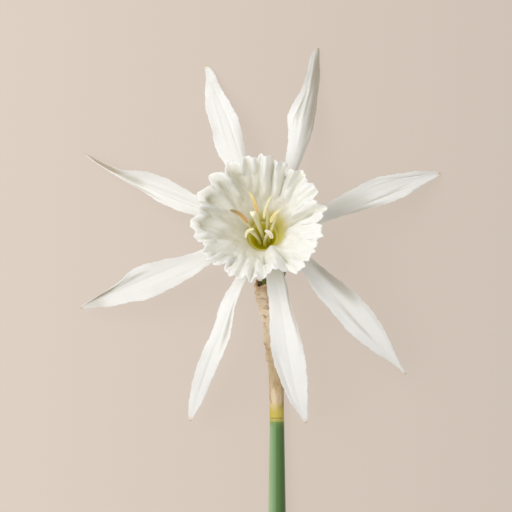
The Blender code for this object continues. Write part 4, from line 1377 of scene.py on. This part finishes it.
# Both rims are rounded by this much.
STEM_EDGE = 0.06 * MM
STEM_RIBS = 11
STEM_RIB = 0.02 * MM
STEM_SIDES = 144


def make_stem():
    """A taper whose middle rises with its radius, so that it lies on the table all along."""
    near_top, near_end = np.linspace(0, 0.02, 8), np.linspace(0.99, 1, 10)
    between = np.linspace(0.02, 0.99, 120)
    share = np.concatenate([near_top[:-1], between, near_end[1:]])
    radius = STEM_TOP_RADIUS + (STEM_END_RADIUS - STEM_TOP_RADIUS) * share
    path = np.empty((len(share), 3))
    path[:, 0] = HEART[0] + STEM_TOP[0]
    path[:, 1] = HEART[1] + STEM_TOP[1] - STEM_LENGTH * share
    path[:, 2] = radius
    from_end = np.clip((1 - share) * STEM_LENGTH / STEM_EDGE, 0, 1)
    from_top = np.clip(share * STEM_LENGTH / STEM_EDGE, 0, 1)
    rounding = STEM_EDGE * (2 - np.sqrt(1 - (1 - from_end) ** 2) - np.sqrt(1 - (1 - from_top) ** 2))
    turn = np.linspace(0, 2 * math.pi, STEM_SIDES, endpoint=False)
    rib = STEM_RIB * (np.cos(STEM_RIBS * turn) - 1)
    return skin("green_stem", carry(path, (radius - rounding)[:, None] + rib, len(turn), TABLE_UP))


stem = make_stem()
dress(stem, "stem", stem_finish)
report(stem)

# %% [markdown]
# ## Stamens
#
# Each stamen is a pale thread with a slender pollen sac balanced on it. The sac has two halves
# with a groove between them and is a little bowed. Threads and sacs repeat the solids' lines.
# The sacs are in different states: one is ripe and orange, some are yellow, the lowest are pale.
# A thread could be a curve with a bevel, but the same rings also give a sac its two grooves.

# %% Five kinds of pollen


def pollen_finish(name, skin_colour, groove_colour, high_colour):
    """Grainy pollen: a colour on the halves, one down their face's groove, one at the high end."""
    material, tree, shader = new_finish(
        name, Subsurface_Weight=0.25, Subsurface_Radius=SCATTER, Subsurface_Scale=0.3 * MM,
        Specular_IOR_Level=0.3,
    )
    along, around = uv_shares(tree)[1:]
    spot = put(tree, "TexCoord").outputs["Object"]
    grains = put(tree, "TexNoise", {"Vector": spot, "Scale": 5200.0, "Detail": 2.0}).outputs["Fac"]
    halves = ramp(tree, around, [
        (0.0, skin_colour), (0.17, skin_colour), (0.23, groove_colour), (0.27, groove_colour),
        (0.33, skin_colour),
    ])
    aged = tint(tree, rising(tree, along, 0.40, 0.70, 0.85), halves, high_colour)
    between_grains = tuple(0.7 * c for c in groove_colour)
    grainy = tint(tree, spread(tree, grains, 0.0, 0.35), aged, between_grains)
    coat(tree, shader, grainy, grains, 0.6, 0.85)
    relief(tree, shader, grains, 0.6, 0.05 * MM)
    return material


PALE = pollen_finish("pollen_pale", (0.90, 0.86, 0.60), (0.84, 0.78, 0.42), (0.90, 0.85, 0.55))
YELLOW = pollen_finish("pollen_yellow", (0.92, 0.82, 0.42), (0.84, 0.66, 0.26), (0.93, 0.88, 0.58))
STRIPED = pollen_finish("pollen_striped", (0.90, 0.68, 0.30), (0.84, 0.50, 0.20), (0.92, 0.85, 0.42))
RIPE = pollen_finish("pollen_ripe", (0.72, 0.44, 0.18), (0.60, 0.36, 0.14), (0.36, 0.30, 0.14))
BLUSH = pollen_finish("pollen_blush", (0.93, 0.89, 0.76), (0.74, 0.56, 0.36), (0.94, 0.91, 0.80))
print("made five kinds of pollen")

# %% Cream threads
thread_finish, tree, shader = new_finish(
    "thread_cream", Subsurface_Weight=0.4, Subsurface_Radius=SCATTER, Subsurface_Scale=0.5 * MM,
    IOR=1.42,
)
place, along = uv_shares(tree)[:2]
body = ramp(tree, along, [
    (0.0, (0.62, 0.57, 0.10)), (0.30, (0.80, 0.75, 0.40)), (0.6, (0.86, 0.81, 0.56)),
    (1.0, (0.88, 0.84, 0.62)),
])
veins = streaks(tree, place, (8.0, 12.0, 1.0))
veined = tint(tree, spread(tree, veins, 0.0, 0.25), body, (0.92, 0.90, 0.66))
coat(tree, shader, veined, veins, 0.35, 0.55)
relief(tree, shader, veins, 0.3, 0.03 * MM)
print("made", thread_finish.name)

# %% The stamens' numbers
# A thread leaves the throat's floor along the axis with this share of its length as Bezier arm.
THREAD_ARM = 0.4
# A filament's radius, the factor it has at its foot, and how much of that it loses by its tip.
FILAMENT_RADIUS = 0.42 * MM
FILAMENT_FOOT = 1.25
FILAMENT_TAPER = 0.65
# The six feet stand on a ring of this radius on the throat's floor.
FILAMENT_RING = 1.35 * MM
FILAMENT_ROWS = 48
FILAMENT_SIDES = 20
ANTHER_RADIUS = 0.62 * MM
ANTHER_ROWS = 44
ANTHER_SIDES = 40
# The rings of an anther stop short of its two ends by this angle of a half circle (radians).
ANTHER_ENDS = 0.06
# Depth of the two grooves, as a share of the radius, and their half width (radians).
GROOVE = 0.42
GROOVE_WIDTH = 0.32
# Where an anther's two ends are, how far its middle bows (mm), the direction of its thread's foot
# (degrees), its girth at its low and high end as a share of the radius above, its finish.
ANTHERS = [
    dict(low=(-4.3, 3.4, 27.0), high=(-9.1, 7.0, 28.4), bow=0.7, foot=165,
         girth=(0.90, 0.75), finish=RIPE),
    dict(low=(-1.8, 6.2, 27.0), high=(-3.9, 11.9, 28.6), bow=0.5, foot=105,
         girth=(0.95, 0.55), finish=STRIPED),
    dict(low=(0.2, 4.6, 26.4), high=(2.4, 10.8, 28.0), bow=-0.5, foot=45,
         girth=(0.70, 0.55), finish=PALE),
    dict(low=(2.0, 3.5, 26.0), high=(5.0, 7.3, 27.2), bow=-0.4, foot=345,
         girth=(1.0, 0.55), finish=YELLOW),
    dict(low=(-4.7, -0.7, 25.6), high=(-2.4, 1.8, 26.4), bow=-0.9, foot=225,
         girth=(0.70, 0.70), finish=PALE),
    dict(low=(2.4, -0.9, 25.6), high=(0.4, 1.3, 26.4), bow=0.6, foot=285,
         girth=(0.95, 0.85), finish=BLUSH),
]
print(len(ANTHERS), "stamens")

# %% Threads and pollen sacs


def throat_floor_spot(turn, radius):
    """A spot on the throat's floor, given by its direction and its distance from the axis."""
    return leaned(np.array((math.cos(turn) * radius, math.sin(turn) * radius, -THROAT_DEPTH)))


def thread(start, end, arrival, steps):
    """A line that leaves the throat along the flower's axis and bends into its arrival.

    It is a Bezier curve whose second arm is half as long as its first.
    """
    arm = THREAD_ARM * np.linalg.norm(end - start)
    controls = (start, start + AXIS * arm, end - arrival * 0.5 * arm, end)
    return bezier(controls, np.linspace(0, 1, steps))[0]


def make_stamen(number, anther):
    """The pollen sac and its thread.

    The sac's line runs between its ends and bows sideways by 1 - z ** 2, with z from -1 to 1. Its
    radius falls to the ends as sqrt(1 - z ** 4), and dips along two grooves, on its face and its
    back, by GROOVE * exp(-distance ** 2).
    """
    low, high = from_heart(anther["low"]), from_heart(anther["high"])
    straight = unit(high - low)
    side = unit(np.cross(straight, TABLE_UP))
    z = -np.cos(np.linspace(ANTHER_ENDS, math.pi - ANTHER_ENDS, ANTHER_ROWS))[:, None]
    line = low + (high - low) * (0.5 + 0.5 * z) + side * anther["bow"] * MM * (1 - z**2)
    turn = np.linspace(0, 2 * math.pi, ANTHER_SIDES, endpoint=False)
    face, back = (
        np.exp(-((turn - middle) / GROOVE_WIDTH) ** 2) for middle in (math.pi / 2, 1.5 * math.pi)
    )
    dip = 1 - GROOVE * (face + back)
    flat = 0.9 + 0.1 * np.abs(np.cos(turn))
    girth = np.interp(z, (-1, 1), anther["girth"])
    radii = ANTHER_RADIUS * girth * np.clip(1 - z**4, 0, 1) ** 0.5 * dip * flat
    sac = skin(f"pollen_sac_{number + 1}", carry(line, radii, len(turn), TABLE_UP))
    dress(sac, f"anther_{number + 1}", anther["finish"])

    middle = (low + high) / 2 + side * anther["bow"] * MM
    arrival = unit(AXIS - straight * (AXIS @ straight))
    start = throat_floor_spot(math.radians(anther["foot"]), FILAMENT_RING)
    path = thread(start, middle - arrival * ANTHER_RADIUS * 0.5, arrival, FILAMENT_ROWS)
    share = np.linspace(0, 1, FILAMENT_ROWS)
    radii = FILAMENT_RADIUS * (FILAMENT_FOOT - FILAMENT_TAPER * share)
    stalk = skin(f"thread_{number + 1}", carry(path, radii, FILAMENT_SIDES, LEAN[:, 0]))
    dress(stalk, f"filament_{number + 1}", thread_finish)
    return sac


for number, anther in enumerate(ANTHERS):
    report(make_stamen(number, anther))

# %% [markdown]
# ## Style and stigma
#
# From the middle of the throat rises the style, longer than the threads and of the same cream. It
# ends in a small three-lobed knob, the stigma. A ball could be set on its end, but here the rings
# of its own line swell, so that style and stigma stay one closed piece.

# %% The style
STYLE_RADIUS = 0.5 * MM
STYLE_ROWS = 90
STYLE_SIDES = 36
STIGMA_RADIUS = 0.85 * MM
# (x, y) from the heart, z over the table, in mm; how much of the style's length is stigma.
STIGMA_AT = (-2.8, 6.1, 29.0)
STIGMA_LENGTH = 0.07
STIGMA_LOBES = 3
STIGMA_LOBE = 0.16


def make_style():
    """A thread whose radius swells into a knob over its last part, with three lobes round it."""
    share = np.linspace(0, 1, STYLE_ROWS)
    path = thread(throat_floor_spot(0.0, 0.0), from_heart(STIGMA_AT), AXIS, STYLE_ROWS)
    knob = np.clip((share - (1 - STIGMA_LENGTH)) / STIGMA_LENGTH, 0, 1)
    swell = np.sqrt(np.clip(1 - (2 * knob - 1) ** 2, 0, 1))
    swollen = np.maximum(STYLE_RADIUS * (knob < 0.5), STIGMA_RADIUS * swell)
    radius = np.where(knob > 0, swollen, STYLE_RADIUS)
    turn = np.linspace(0, 2 * math.pi, STYLE_SIDES, endpoint=False)
    lobes = 1 + STIGMA_LOBE * np.cos(STIGMA_LOBES * turn)[None, :] * (knob > 0)[:, None]
    return skin("style_and_stigma", carry(path, radius[:, None] * lobes, len(turn), LEAN[:, 0]))


style = make_style()
dress(style, "style", thread_finish)
report(style)
